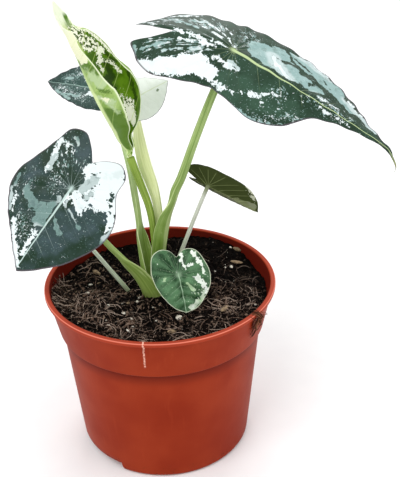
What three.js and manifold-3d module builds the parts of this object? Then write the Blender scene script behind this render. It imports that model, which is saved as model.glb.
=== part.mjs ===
// A potted alocasia: a young variegated plant with eight leaves in a 12 cm plastic nursery pot.
// Millimetres, +Z up. The origin is the centre of the pot's flat base, and -Y is the front.

import * as THREE from 'three';
import { mergeVertices } from 'three/addons/utils/BufferGeometryUtils.js';
import Module from 'manifold-3d';

const manifoldLibrary = await Module();
manifoldLibrary.setup();

// ---------------------------------------------------------------- driving dimensions

const POT_HEIGHT = 94;
const RIM_RADIUS = 60;
const RIM_DEPTH = 2;
const RIM_INNER_RADIUS = 57.4;
const COLLAR_TOP_RADIUS = 58.5;
const COLLAR_BOTTOM_RADIUS = 54.1;
const SHOULDER_HEIGHT = 71;
const BODY_TOP_RADIUS = 52.4;
const BODY_BOTTOM_RADIUS = 45.7;
const BASE_CORNER = 4.2;
const WALL = 1.3;
const FLOOR = 1.6;
const POT_SEGMENTS = 60;
const RIM_ROUNDING = 0.4;
const SHOULDER_STEP = 0.8;
const INNER_SHOULDER_BOTTOM = SHOULDER_HEIGHT - 0.5;
const INNER_SHOULDER_TOP = SHOULDER_HEIGHT + 1.2;
const CORNER_CUT = 0.3;

const NOTCH_HEIGHT = 5;
const NOTCH_INNER_RADIUS = 38;
const NOTCH_WIDTH = 47;
const NOTCH_CENTRES = [-143, 37];
const NOTCH_OVERSHOOT = 6;
const NOTCH_BELOW = 1;
const DRAIN_SLOT = [3.5, 11];
const DRAIN_SLOT_RADIUS = 41;
const DRAIN_HOLES = 6;
const DRAIN_HOLE_RADIUS = 3.5;
const DRAIN_CIRCLE_RADIUS = 27;

const CLEARANCE = 0.3;
const SOIL_LEVEL = 84.5;

const CROWN = [-3, 2.8];
const CROWN_RADIUS = 7.4;
const CORM_TOP = 72;
const CORM_RADIUS = 11.5;
const CORM_HEIGHT = 26;
const CORM_SEGMENTS = 20;
// Shares of the corm's radius and of its height.
const CORM_PROFILE = [[0, 0], [0.55, 0.08], [0.9, 0.31], [1, 0.58], [0.97, 0.88], [0.9, 1], [0, 1]];

const BLADE_THICKNESS = 0.7;
const STALK_END_RADIUS = 1.2;
const STALK_END_DROP = 1.75;
const MARGIN_POINTS = 15;
const BLADE_RINGS = 5;
const MIDRIB_STEPS = 24;
const WING_FOLD = 3;
const STALK_RUNGS = 8;
const FURLED_RUNGS = 16;
const EDGE_SHARPNESS = 0.98;

// ---------------------------------------------------------------- small helpers

const degrees = THREE.MathUtils.degToRad;

function material(color, roughness, metalness = 0) {
  return new THREE.MeshStandardMaterial({ color, roughness, metalness });
}

function mesh(name, geometry, look) {
  const object = new THREE.Mesh(geometry, look);
  object.name = name;
  return object;
}

// Only the places of the corners are kept, and corners at one place become one.
function weld(geometry) {
  const bare = geometry.clone();
  bare.deleteAttribute('normal');
  bare.deleteAttribute('uv');
  return mergeVertices(bare, 1e-4);
}

function toSolid(geometry) {
  const welded = weld(geometry);
  const { Manifold, Mesh } = manifoldLibrary;
  return new Manifold(new Mesh({
    numProp: 3,
    vertProperties: new Float32Array(welded.attributes.position.array),
    triVerts: new Uint32Array(welded.index.array),
  }));
}

function toGeometry(solid) {
  const cut = solid.getMesh();
  const geometry = new THREE.BufferGeometry();
  geometry.setAttribute('position', new THREE.BufferAttribute(cut.vertProperties, 3));
  geometry.setIndex(new THREE.BufferAttribute(cut.triVerts, 1));
  return geometry;
}

// Each corner of a geometry is moved to the place that the function gives for it.
function reshape(geometry, place) {
  const position = geometry.attributes.position;
  for (let i = 0; i < position.count; i += 1) {
    const spot = place(position.getX(i), position.getY(i), position.getZ(i), geometry.attributes.uv, i);
    position.setXYZ(i, spot.x, spot.y, spot.z);
  }
  return weld(geometry);
}

// A turned solid: the profile is a list of [radius, height], and the axis is upright.
function turned(profile, segments = POT_SEGMENTS) {
  const points = profile.map(([radius, height]) => new THREE.Vector2(radius, height));
  const geometry = new THREE.LatheGeometry(points, segments);
  geometry.rotateX(Math.PI / 2);
  return geometry;
}

// ---------------------------------------------------------------- nursery pot

const INNER_CORNER = BASE_CORNER - 1;

function outerProfile() {
  return [
    [0, 0],
    [BODY_BOTTOM_RADIUS - BASE_CORNER, 0],
    [BODY_BOTTOM_RADIUS - CORNER_CUT * BASE_CORNER, CORNER_CUT * BASE_CORNER],
    [BODY_BOTTOM_RADIUS, BASE_CORNER],
    [BODY_TOP_RADIUS, SHOULDER_HEIGHT - SHOULDER_STEP],
    [COLLAR_BOTTOM_RADIUS - RIM_ROUNDING, SHOULDER_HEIGHT],
    [COLLAR_BOTTOM_RADIUS, SHOULDER_HEIGHT + SHOULDER_STEP],
    [COLLAR_TOP_RADIUS, POT_HEIGHT - RIM_DEPTH],
    [RIM_RADIUS, POT_HEIGHT - RIM_DEPTH],
    [RIM_RADIUS, POT_HEIGHT - RIM_ROUNDING],
    [RIM_RADIUS - RIM_ROUNDING, POT_HEIGHT],
    [0, POT_HEIGHT],
  ];
}

// The inside of the pot, drawn in by the given clearance, up to the given height.
function innerProfile(clearance, top) {
  const wall = WALL + clearance;
  const floor = FLOOR + clearance;
  return [
    [0, floor],
    [BODY_BOTTOM_RADIUS - wall - INNER_CORNER, floor],
    [BODY_BOTTOM_RADIUS - wall - CORNER_CUT * INNER_CORNER, floor + CORNER_CUT * INNER_CORNER],
    [BODY_BOTTOM_RADIUS - wall, floor + INNER_CORNER],
    [BODY_TOP_RADIUS - wall, INNER_SHOULDER_BOTTOM],
    [COLLAR_BOTTOM_RADIUS - wall, INNER_SHOULDER_TOP],
    [innerRadius(top) - clearance, top],
    [0, top],
  ];
}

// The radius of the collar's inner face at a height.
function innerRadius(height) {
  const share = (height - INNER_SHOULDER_TOP) / (POT_HEIGHT - INNER_SHOULDER_TOP);
  return THREE.MathUtils.lerp(COLLAR_BOTTOM_RADIUS - WALL, RIM_INNER_RADIUS, share);
}

// The raised place in the bottom edge, a piece of a ring, grown by the given amount.
function notch(centre, grow) {
  const half = degrees(NOTCH_WIDTH / 2) + grow / BODY_BOTTOM_RADIUS;
  const outline = new THREE.Shape();
  outline.absarc(0, 0, BODY_BOTTOM_RADIUS + NOTCH_OVERSHOOT, -half, half, false);
  outline.absarc(0, 0, NOTCH_INNER_RADIUS - grow, half, -half, true);
  const depth = NOTCH_HEIGHT + NOTCH_BELOW + grow;
  const geometry = new THREE.ExtrudeGeometry(outline, { depth, bevelEnabled: false, curveSegments: 6 });
  geometry.translate(0, 0, -NOTCH_BELOW);
  geometry.rotateZ(degrees(centre));
  return toSolid(geometry);
}

function drainSlot(centre) {
  const [depth, width] = DRAIN_SLOT;
  const geometry = new THREE.BoxGeometry(depth, width, 3 * WALL);
  geometry.translate(DRAIN_SLOT_RADIUS, 0, NOTCH_HEIGHT + WALL / 2);
  geometry.rotateZ(degrees(centre));
  return toSolid(geometry);
}

function drainHole(index) {
  const angle = degrees(360 / DRAIN_HOLES) * (index + 0.5);
  const geometry = new THREE.CylinderGeometry(DRAIN_HOLE_RADIUS, DRAIN_HOLE_RADIUS, 3 * FLOOR, 12);
  geometry.rotateX(Math.PI / 2);
  geometry.translate(DRAIN_CIRCLE_RADIUS * Math.cos(angle), DRAIN_CIRCLE_RADIUS * Math.sin(angle), FLOOR / 2);
  return toSolid(geometry);
}

function nurseryPot() {
  let shell = toSolid(turned(outerProfile()));
  let hollow = toSolid(turned(innerProfile(0, POT_HEIGHT + 1)));
  for (const centre of NOTCH_CENTRES) {
    shell = shell.subtract(notch(centre, 0));
    hollow = hollow.subtract(notch(centre, WALL));
  }
  let pot = shell.subtract(hollow);
  for (const centre of NOTCH_CENTRES) {
    pot = pot.subtract(drainSlot(centre));
  }
  for (let i = 0; i < DRAIN_HOLES; i += 1) {
    pot = pot.subtract(drainHole(i));
  }
  return mesh('nursery_pot', toGeometry(pot), material(0x9c3a22, 0.45));
}

// ---------------------------------------------------------------- leaf stalks

// A stalk is a list of stations [x, y, z, half width, half thickness, bend]. The section is an
// ellipse. A bend above 0 curls it round an axis 1 / bend away, which makes the sheath that
// wraps the younger stalks. "faces" is the compass angle of the section's outer side.

const STALKS = {
  stalk_left: {
    faces: -123,
    colour: 0x7f9f3c,
    stations: [
      [-6.6, -2.7, 72.3, 11, 0.4, 0.1515],
      [-6.7, -2.8, 84, 10.5, 0.4, 0.1515],
      [-8.5, -3.1, 91, 7, 0.6, 0.15],
      [-12, -2.8, 98, 5.4, 0.8, 0.15],
      [-16, -2.6, 103.5, 3.6, 1, 0.12],
      [-19.3, -2.3, 108, 1.9, 1.5, 0],
      [-27, -2.6, 118, 1.5, 1.5, 0],
      [-34.5, -3.2, 133, 1.35, 1.35, 0],
    ],
  },
  stalk_rear_left: {
    faces: 154,
    colour: 0x8fae5a,
    stations: [
      [-7.8, 5.1, 72.3, 9.2, 0.4, 0.1887],
      [-7.9, 5.1, 88, 8.8, 0.4, 0.1887],
      [-9.3, 5.1, 102, 7.4, 0.5, 0.2],
      [-10.2, 4.8, 115, 5.4, 0.6, 0.22],
      [-9.8, 5, 124, 2.6, 1.2, 0.1],
      [-11.2, 5.6, 140, 1.75, 1.75, 0],
      [-13.6, 10, 155, 1.6, 1.6, 0],
      [-18.5, 19, 171, 1.4, 1.4, 0],
    ],
  },
  stalk_right: {
    faces: -18,
    colour: 0x7ea343,
    stations: [
      [0.8, 1.6, 72.3, 7.8, 0.4, 0.25],
      [1.1, 1.5, 88, 7.8, 0.45, 0.25],
      [2.6, 1.4, 108, 8, 0.6, 0.25],
      [4.3, 1.3, 120, 8, 0.7, 0.24],
      [5.9, 1.5, 130, 6, 1.2, 0.24],
      [7.8, 1.5, 137.5, 3.6, 1.8, 0.12],
      [9.2, 1.5, 143, 2.4, 2.2, 0],
      [12.4, 1.5, 150, 2.2, 2.2, 0],
      [20.5, 1, 172.5, 2.05, 2.05, 0],
      [29.2, 0.5, 194.5, 1.9, 1.9, 0],
    ],
  },
  stalk_rear_right: {
    faces: 66,
    colour: 0xc3cf8d,
    stations: [
      [-1.9, 5.3, 72.3, 4.5, 0.35, 0.37],
      [-1.8, 5.3, 90, 4.5, 0.35, 0.37],
      [-0.6, 5.3, 108, 4.2, 0.45, 0.36],
      [0.3, 5.8, 122, 3.2, 0.8, 0.22],
      [-0.3, 7, 134, 2.5, 1.5, 0],
      [-2.4, 8, 144, 3.4, 1.8, 0],
      [-5.4, 9, 154, 3.9, 1.8, 0],
      [-7.7, 11, 166.5, 3.3, 1.7, 0],
      [-8.6, 13.5, 176.5, 1.9, 1.5, 0],
    ],
  },
  stalk_furled: {
    faces: 90,
    colour: 0x8b9f3a,
    stations: [
      [-3, 2.8, 72.3, 1.7, 1.7, 0],
      [-2.8, 2.6, 90, 1.7, 1.7, 0],
      [-2, 2.2, 108, 1.7, 1.7, 0],
      [-2.9, 2.3, 125.5, 1.7, 1.7, 0],
      [-4.3, 2.8, 135, 1.9, 1.9, 0],
      [-7.2, 2.8, 145, 2, 2, 0],
      [-10.1, 2.8, 154, 2.1, 2.1, 0],
      [-12, 2.8, 161, 2, 2, 0],
    ],
  },
  stalk_small_right: {
    faces: 0,
    colour: 0xb9bf9a,
    stations: [
      [2.6, 7, 72.8, 1.4, 1.4, 0],
      [4.2, 8, 80, 1.4, 1.4, 0],
      [7.2, 8.3, 93, 1.35, 1.35, 0],
      [16, 8, 118, 1.25, 1.25, 0],
    ],
  },
  stalk_small_front: {
    faces: 0,
    colour: 0xb9bf9a,
    stations: [
      [4.5, -3.4, 72.6, 1.3, 1.3, 0],
      [5, -4.4, 80, 1.3, 1.3, 0],
      [6.8, -7.6, 90, 1.25, 1.25, 0],
    ],
  },
  stalk_small_left: {
    faces: 0,
    colour: 0xc4c9a8,
    stations: [
      [-11.6, 3.4, 73, 1.4, 1.4, 0],
      [-15.5, 4, 81, 1.4, 1.4, 0],
      [-28.3, 4.6, 100, 1.3, 1.3, 0],
      [-40.3, 7.4, 116, 1.15, 1.15, 0],
    ],
  },
};

// The stalk's last station lies close under its blade, at the joint.
function stalkSpec(name) {
  const { faces, stations } = STALKS[name];
  const blade = BLADES[name.replace('stalk', 'blade')];
  if (!blade) {
    return { faces, stations };
  }
  const end = new THREE.Vector3(...blade.joint).addScaledVector(bladeAxes(blade).up, -STALK_END_DROP);
  return { faces, stations: [...stations, [...end, STALK_END_RADIUS, STALK_END_RADIUS, 0]] };
}

// A square bar of unit size is bent and shaped to the stations. "grow" adds to it all round.
// Its end faces are ladders of rungs, so they follow the curl of a sheath.
function sweep({ faces, stations }, grow = 0, rungs = STALK_RUNGS, steps = 3) {
  const rings = (stations.length - 1) * steps;
  const bar = new THREE.BoxGeometry(2, 1, 2, rungs, rings, 1);
  const first = [...stations[0]];
  first[2] -= grow;
  const all = [first, ...stations.slice(1)];
  const route = new THREE.CatmullRomCurve3(all.map(([x, y, z]) => new THREE.Vector3(x, y, z)));
  const sizes = new THREE.CatmullRomCurve3(all.map(([, , , a, b, c]) => new THREE.Vector3(a, b, c * 10)));
  const facing = new THREE.Vector3(Math.cos(degrees(faces)), Math.sin(degrees(faces)), 0);
  return reshape(bar, (x, y, z) => {
    const t = 0.5 + y;
    const along = route.getTangent(t);
    const outward = facing.clone().addScaledVector(along, -facing.dot(along)).normalize();
    const sideways = along.clone().cross(outward);
    const size = sizes.getPoint(t);
    const across = x * (size.x + grow);
    const out = z * (size.y + grow) * Math.sqrt(1 - (EDGE_SHARPNESS * x) ** 2);
    const bend = Math.max(size.z / 10, 1e-3);
    const reach = 1 / bend + out;
    return route.getPoint(t)
      .addScaledVector(sideways, reach * Math.sin(bend * across))
      .addScaledVector(outward, reach * Math.cos(bend * across) - 1 / bend);
  });
}

// ---------------------------------------------------------------- leaf blades

// A blade is drawn flat. u runs along the midrib from the stalk (0) to the tip, and v to the
// left of it, seen from above the leaf. Each side is a list of [u, v] from the notch between
// the two lobes, round the lobe, to the tip. yaw, pitch and roll turn the flat leaf; pitch is
// how far the tip points down. droop gives the bend of the midrib in degrees over the lobes,
// over the leaf and over the drip tip, which starts at tipFrom. wings are the angles by which
// the left and right halves hang below the midrib, at the lobes, the stalk and the tip.

const BLADES = {
  blade_left: {
    colour: 0x49635a,
    joint: [-41, -6, 149],
    yaw: 208, pitch: 47, roll: -45,
    droop: [10, 4, 0], tipFrom: 40,
    wings: [[6, 6, 6], [6, 6, 6]],
    left: [[-16.5, 1], [-21, 6], [-24, 13], [-20, 18.5], [-11, 20], [-2, 25.5], [7, 28.5], [20, 25.5],
      [33, 18], [42, 9.5], [49, 1]],
    right: [[-16.5, 1], [-23, -5], [-27, -11.5], [-24, -18], [-15, -21], [-5, -24], [6, -28], [16, -27.5],
      [28, -20], [39, -9.5], [49, 1]],
  },
  blade_right: {
    colour: 0x3f6553,
    joint: [38.5, 0, 214],
    yaw: -12, pitch: 29, roll: 27,
    droop: [52, 6, 72], tipFrom: 80,
    wings: [[27, 17, 20], [18, 18, 110]],
    left: [[-30, -1.5], [-40, -0.6], [-48, 2.2], [-58, 8.5], [-56, 16], [-46, 21], [-32, 24.5],
      [-18, 24.5], [-6, 24.5], [9, 29.5], [23, 31], [37, 30], [52, 25.5], [64, 18], [73, 9], [82, 3],
      [93, 1.4], [103, 0]],
    right: [[-30, -1.5], [-33.5, -3.8], [-42, -7.2], [-51, -9.2], [-47, -14.8], [-42.5, -20.5],
      [-35, -25], [-24, -26], [-10, -23.7], [2, -21.8], [11, -22.3], [20, -23.6], [29, -22.2],
      [36.5, -18.9], [41.5, -14.5], [47, -8.8], [55, -5.8], [65, -3.7], [76, -2.2], [90, -1.4],
      [103, 0]],
  },
  blade_rear_left: {
    colour: 0x51696a,
    joint: [-25.7, 30, 186.3],
    yaw: 147, pitch: 0, roll: -24,
    droop: [20, 4, 0], tipFrom: 30,
    wings: [[-8, -8, -8], [-8, -8, -8]],
    left: [[-6, 0], [-10, 4], [-12, 9], [-8, 14.5], [0, 16.5], [9, 14.5], [18, 11.5], [28, 6.5], [38, 0]],
    right: [[-6, 0], [-10, -4], [-12, -9], [-8, -14], [1, -17.5], [11, -17], [22, -14], [32, -7],
      [38, 0]],
  },
  blade_rear_right: {
    colour: 0xd9dfd4,
    joint: [-9.6, 16, 186.5],
    yaw: 47, pitch: -9, roll: 38,
    droop: [20, 6, 0], tipFrom: 18,
    wings: [[14, 14, 14], [14, 14, 14]],
    left: [[-5, 0], [-8, 4], [-7, 9], [0, 12.5], [7, 12.5], [13, 10], [19, 6], [25, 0]],
    right: [[-5, 0], [-8, -4], [-7.5, -8.5], [-2, -11.5], [5, -12], [12, -10], [19, -5.5], [25, 0]],
  },
  blade_small_right: {
    colour: 0x565e3c,
    joint: [26, 8, 143],
    yaw: -14, pitch: 25, roll: -55,
    droop: [0, 4, 0], tipFrom: 20,
    wings: [[-16, -16, -16], [-16, -16, -16]],
    left: [[-6, 0], [-11, 4], [-8.5, 8], [-2, 9.5], [6, 9.5], [14, 8], [22, 4.5], [28.5, 0]],
    right: [[-6, 0], [-13, -3], [-12, -8], [-4.5, -11.8], [5, -12.5], [14, -12.5], [20, -11],
      [25.5, -6.5], [28.5, 0]],
  },
  blade_small_front: {
    colour: 0x3c6b47,
    joint: [10, -14, 104],
    yaw: -68, pitch: 57, roll: 0,
    droop: [0, 6, 0], tipFrom: 14,
    wings: [[-5, -5, -5], [-5, -5, -5]],
    left: [[-9, 1], [-12, 6], [-10.5, 11.5], [-4, 15], [2.5, 16.3], [8.5, 15], [14, 10.8], [18, 6],
      [19.5, 0]],
    right: [[-9, 1], [-12.5, -2], [-14, -6.5], [-12, -11.5], [-6, -13.8], [0, -14], [6.5, -12.2],
      [12, -9], [16.5, -5], [19.5, 0]],
  },
  blade_small_left: {
    colour: 0x4a6a55,
    joint: [-45.6, 10.2, 122.6],
    yaw: 196, pitch: 32, roll: -12,
    droop: [0, 8, 0], tipFrom: 14,
    wings: [[4, 4, 4], [4, 4, 4]],
    left: [[-6, 0], [-9, 4], [-7.5, 8.5], [-1, 10.5], [6, 10], [13, 6.5], [19, 0]],
    right: [[-6, 0], [-9, -4], [-7.5, -8.5], [-1, -10.5], [6, -10], [13, -6.5], [19, 0]],
  },
};

const FURLED_BLADE = {
  faces: 142,
  stations: [
    [-12, 2.8, 161.4, 1.2, 0.8, 0],
    [-13, 3.4, 163.2, 3.5, 0.5, 0.75],
    [-13.9, 3.9, 166.5, 7.3, 0.4, 0.4],
    [-16.8, 3.6, 172.5, 11.4, 0.4, 0.25],
    [-18.5, 3.8, 179, 18.7, 0.4, 0.142],
    [-20.9, 4, 186.6, 23.8, 0.4, 0.106],
    [-23.5, 3.8, 194, 26, 0.4, 0.096],
    [-26, 3.2, 200.7, 25.5, 0.4, 0.098],
    [-28.8, 1.2, 208, 19.6, 0.4, 0.12],
    [-31.6, -0.3, 215.9, 15.6, 0.4, 0.139],
    [-34.5, -2.4, 222.2, 11.2, 0.4, 0.19],
    [-37.7, -4.9, 228, 5.7, 0.4, 0.38],
    [-40.5, -8.8, 239.5, 0.5, 0.4, 0],
  ],
};

// The bend of the midrib, in radians, at the distance u from the stalk.
function midribBend({ droop, tipFrom, length, lobes }, u) {
  const [overLobes, overLeaf, overTip] = droop;
  const steady = u > 0 ? overLeaf * u / length : overLobes * u / lobes;
  const curl = overTip * Math.max(0, u - tipFrom) / (length - tipFrom);
  return degrees(steady + curl);
}

// The midrib's place in its own upright plane: [forward, up].
function midribPlace(blade, u) {
  let forward = 0;
  let up = 0;
  for (let i = 0; i < MIDRIB_STEPS; i += 1) {
    const bend = midribBend(blade, u * (i + 0.5) / MIDRIB_STEPS);
    forward += Math.cos(bend) * u / MIDRIB_STEPS;
    up -= Math.sin(bend) * u / MIDRIB_STEPS;
  }
  return [forward, up];
}

function wingAngle({ wings, length, lobes }, u, v) {
  const [atLobes, atStalk, atTip] = wings[v > 0 ? 0 : 1];
  const share = u > 0 ? u / length : -u / lobes;
  return degrees(THREE.MathUtils.lerp(atStalk, u > 0 ? atTip : atLobes, Math.min(1, share)));
}

function bladeAxes({ yaw, pitch, roll }) {
  const turn = new THREE.Euler(degrees(roll), degrees(pitch), degrees(yaw), 'ZYX');
  const axes = new THREE.Matrix4().makeRotationFromEuler(turn);
  const [forward, left, up] = [new THREE.Vector3(), new THREE.Vector3(), new THREE.Vector3()];
  axes.extractBasis(forward, left, up);
  return { forward, left, up };
}

// The place in space of the flat point u, v, lifted off the leaf by "lift".
function bladePlace(blade, axes, u, v, lift) {
  const bend = midribBend(blade, u);
  const [ahead, rise] = midribPlace(blade, u);
  const up = axes.up.clone().multiplyScalar(Math.cos(bend)).addScaledVector(axes.forward, Math.sin(bend));
  const side = Math.sign(v);
  const wing = wingAngle(blade, u, v);
  const tilt = wing * Math.min(1, Math.abs(v) / WING_FOLD);
  return new THREE.Vector3(...blade.joint)
    .addScaledVector(axes.forward, ahead)
    .addScaledVector(axes.up, rise)
    .addScaledVector(axes.left, v * Math.cos(wing) + lift * side * Math.sin(tilt))
    .addScaledVector(up, lift * Math.cos(tilt) - Math.abs(v) * Math.sin(wing));
}

function marginCurve(points) {
  return new THREE.CatmullRomCurve3(points.map(([u, v]) => new THREE.Vector3(u, v, 0)), false, 'centripetal');
}

// A ball is pressed flat onto the bent leaf: its equator is the margin, its poles the stalk.
function bladeSolid(shape) {
  const blade = { ...shape, length: shape.left.at(-1)[0], lobes: Math.max(...shape.left.map(([u]) => -u)) };
  const axes = bladeAxes(blade);
  const left = marginCurve(blade.left);
  const right = marginCurve(blade.right);
  const ball = new THREE.SphereGeometry(1, 2 * MARGIN_POINTS, 2 * BLADE_RINGS);
  return reshape(ball, (x, y, z, uv, i) => {
    const round = Math.min(1, Math.max(0, uv.getX(i)));
    const share = 1 - Math.abs(2 * uv.getY(i) - 1);
    const margin = round < 0.5 ? right.getPoint(2 * round) : left.getPoint(2 - 2 * round);
    const lift = Math.sign(2 * uv.getY(i) - 1) * BLADE_THICKNESS / 2 * Math.sqrt(1 - share * share);
    return bladePlace(blade, axes, margin.x * share, margin.y * share, lift);
  });
}

// ---------------------------------------------------------------- soil, corm and grains

// The soil is lowest round the crown and rises towards the wall. It is heaped up against the
// wall at the right rear, and a little at the left front.
const SOIL_RISE = 0.0007;
const SOIL_HEAPS = [
  { x: 28, y: 48, height: 5, spread: 700 },
  { x: -38, y: -18, height: 3, spread: 500 },
];
const RIPPLE_HEIGHT = 0.6;
const RIPPLE_LENGTH = [6.5, 7.5];
const SOIL_RINGS = [46, 38, 30, 22, 14, 7];
const SOIL_SEGMENTS = 40;

function soilTop(x, y) {
  let height = SOIL_LEVEL + SOIL_RISE * (x * x + y * y);
  for (const heap of SOIL_HEAPS) {
    height += heap.height * Math.exp(-((x - heap.x) ** 2 + (y - heap.y) ** 2) / heap.spread);
  }
  return height + RIPPLE_HEIGHT * Math.sin(x / RIPPLE_LENGTH[0] + 1) * Math.cos(y / RIPPLE_LENGTH[1]);
}

const GRAINS = [
  ['perlite_1', 10, -24, 2.6, 'perlite'],
  ['perlite_2', -14, -27, 1.8, 'perlite'],
  ['perlite_3', -18, -22, 1.7, 'perlite'],
  ['perlite_4', 26, 14, 1.9, 'perlite'],
  ['perlite_5', 38, 22, 1.6, 'perlite'],
  ['perlite_6', -38, -4, 1.7, 'perlite'],
  ['perlite_7', -12, -9, 1.6, 'perlite'],
  ['bark_chip_1', 41, 26, 3, 'bark'],
  ['bark_chip_2', 33, -18, 3.2, 'bark'],
  ['bark_chip_3', -36, 22, 2.8, 'bark'],
];

const GRAIN_TILT = 0.25;
const GRAIN_TURN = 1.3;
const GRAIN_LIFT = 0.35;

const GRAIN_LOOKS = {
  perlite: { shape: [1, 0.85, 0.75], look: () => material(0xd9d3c4, 0.9) },
  bark: { shape: [1.5, 0.7, 0.4], look: () => material(0x4a3222, 0.85) },
};

function grainSolid([, x, y, size, kind], index, grow = 0) {
  const [a, b, c] = GRAIN_LOOKS[kind].shape.map((share) => share * size + grow);
  const geometry = new THREE.SphereGeometry(1, 8, 5);
  geometry.scale(a, b, c);
  geometry.rotateX(GRAIN_TILT);
  geometry.rotateZ(index * GRAIN_TURN);
  geometry.translate(x, y, soilTop(x, y) + GRAIN_LIFT * size);
  return weld(geometry);
}

function cormGeometry(grow) {
  const radius = CORM_RADIUS + grow;
  const bottom = CORM_TOP - CORM_HEIGHT - grow;
  const top = CORM_TOP + grow;
  const profile = CORM_PROFILE.map(([share, height]) => [share * radius, bottom + height * (top - bottom)]);
  const geometry = turned(profile, CORM_SEGMENTS);
  geometry.translate(CROWN[0], CROWN[1], 0);
  return geometry;
}

function soilGeometry() {
  const profile = innerProfile(CLEARANCE, SOIL_LEVEL);
  const axisTop = profile.pop();
  for (const radius of SOIL_RINGS) {
    profile.push([radius, SOIL_LEVEL]);
  }
  profile.push(axisTop);
  const geometry = turned(profile, SOIL_SEGMENTS);
  return reshape(geometry, (x, y, z) => {
    if (z < SOIL_LEVEL - 0.1) {
      return new THREE.Vector3(x, y, z);
    }
    const height = soilTop(x, y);
    const spread = (innerRadius(height) - CLEARANCE) / (innerRadius(SOIL_LEVEL) - CLEARANCE);
    return new THREE.Vector3(x * spread, y * spread, height);
  });
}

// The hole that the bundle of wrapped stalks fills, from the corm up to the open air.
function crownHole() {
  const height = POT_HEIGHT - CORM_TOP;
  const geometry = new THREE.CylinderGeometry(CROWN_RADIUS, CROWN_RADIUS, height, 24);
  geometry.rotateX(Math.PI / 2);
  geometry.translate(CROWN[0], CROWN[1], CORM_TOP + height / 2);
  return toSolid(geometry);
}

function pottingSoil() {
  let soil = toSolid(soilGeometry());
  for (const centre of NOTCH_CENTRES) {
    soil = soil.subtract(notch(centre, WALL + CLEARANCE));
  }
  soil = soil.subtract(toSolid(cormGeometry(CLEARANCE)));
  soil = soil.subtract(crownHole());
  for (const name of ['stalk_left', 'stalk_small_right', 'stalk_small_front', 'stalk_small_left']) {
    soil = soil.subtract(toSolid(sweep(stalkSpec(name), CLEARANCE)));
  }
  GRAINS.forEach((grain, index) => {
    soil = soil.subtract(toSolid(grainSolid(grain, index, CLEARANCE)));
  });
  return mesh('potting_soil', toGeometry(soil), material(0x2b1c14, 0.95));
}

// ---------------------------------------------------------------- assembly

// An older stalk's sheath is hollowed where the younger stalks stand in it.
const SHEATH_ORDER = ['stalk_left', 'stalk_rear_left', 'stalk_right', 'stalk_rear_right', 'stalk_furled'];

function stalkMesh(name) {
  let solid = toSolid(sweep(stalkSpec(name)));
  const place = SHEATH_ORDER.indexOf(name);
  const younger = place < 0 ? [] : SHEATH_ORDER.slice(place + 1);
  for (const inner of younger) {
    solid = solid.subtract(toSolid(sweep(stalkSpec(inner), CLEARANCE)));
  }
  return mesh(name, toGeometry(solid), material(STALKS[name].colour, 0.5));
}

function plant() {
  const group = new THREE.Group();
  group.add(mesh('corm', weld(cormGeometry(0)), material(0x6b4a2f, 0.9)));
  for (const name of Object.keys(STALKS)) {
    group.add(stalkMesh(name));
  }
  for (const [name, shape] of Object.entries(BLADES)) {
    group.add(mesh(name, bladeSolid(shape), material(shape.colour, 0.5)));
  }
  group.add(mesh('blade_furled', sweep(FURLED_BLADE, 0, FURLED_RUNGS, 2), material(0x6f9440, 0.5)));
  return group;
}

function pottedBed() {
  const group = new THREE.Group();
  group.add(nurseryPot());
  group.add(pottingSoil());
  GRAINS.forEach((grain, index) => {
    group.add(mesh(grain[0], grainSolid(grain, index), GRAIN_LOOKS[grain[4]].look()));
  });
  return group;
}

const alocasia = new THREE.Group();
alocasia.add(pottedBed());
alocasia.add(plant());

export default alocasia;
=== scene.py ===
# %% [markdown]
# # A potted alocasia
# A young alocasia with white and green leaves stands in a plastic nursery pot. The packed model
# gives the size and place of every piece. Here each piece gets its fine surface and its finish.
# The script is read from top to bottom: camera, helpers, lights, pot, soil, leaves, stalks.

# %% Load the packed model
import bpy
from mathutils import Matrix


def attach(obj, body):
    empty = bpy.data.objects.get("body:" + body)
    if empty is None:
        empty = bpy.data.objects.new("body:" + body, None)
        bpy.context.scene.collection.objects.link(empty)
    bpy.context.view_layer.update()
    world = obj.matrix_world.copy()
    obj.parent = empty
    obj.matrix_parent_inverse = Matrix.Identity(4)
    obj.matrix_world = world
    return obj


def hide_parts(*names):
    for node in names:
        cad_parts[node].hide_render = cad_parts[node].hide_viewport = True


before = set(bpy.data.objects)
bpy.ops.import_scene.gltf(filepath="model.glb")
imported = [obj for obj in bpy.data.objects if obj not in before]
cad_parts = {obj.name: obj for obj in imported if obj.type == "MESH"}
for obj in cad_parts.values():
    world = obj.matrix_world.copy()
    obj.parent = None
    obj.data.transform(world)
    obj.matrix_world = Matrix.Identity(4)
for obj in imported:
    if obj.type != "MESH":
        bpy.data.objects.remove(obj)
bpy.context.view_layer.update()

from types import SimpleNamespace

import bpy
import numpy as np
from mathutils import Matrix, Vector

MM = 0.001

# %% [markdown]
# ## Camera
# The photo was taken from in front and above. The camera's place, its tilt and its focal length
# were worked out from the ellipses of the pot's rim, shoulder and base. The focal length is given
# in pixels of the photo, because that is how it was measured.

# %% Camera
IMAGE_HEIGHT = 477
FOCAL_PIXELS = 860
SENSOR = 36
CAMERA_PLACE = Vector((21.175, -386.962, 322.316)) * MM
LOOKS_DOWN = np.radians(27.95)
ROLLED = np.radians(-1.203)


def camera_matrix(place, down, roll):
    """The camera's axes: level and facing +Y, then tilted down, then rolled about its view."""
    tilt = Matrix.Rotation(np.pi / 2 - down, 4, "X")
    return Matrix.Translation(place) @ tilt @ Matrix.Rotation(roll, 4, "Z")


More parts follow.
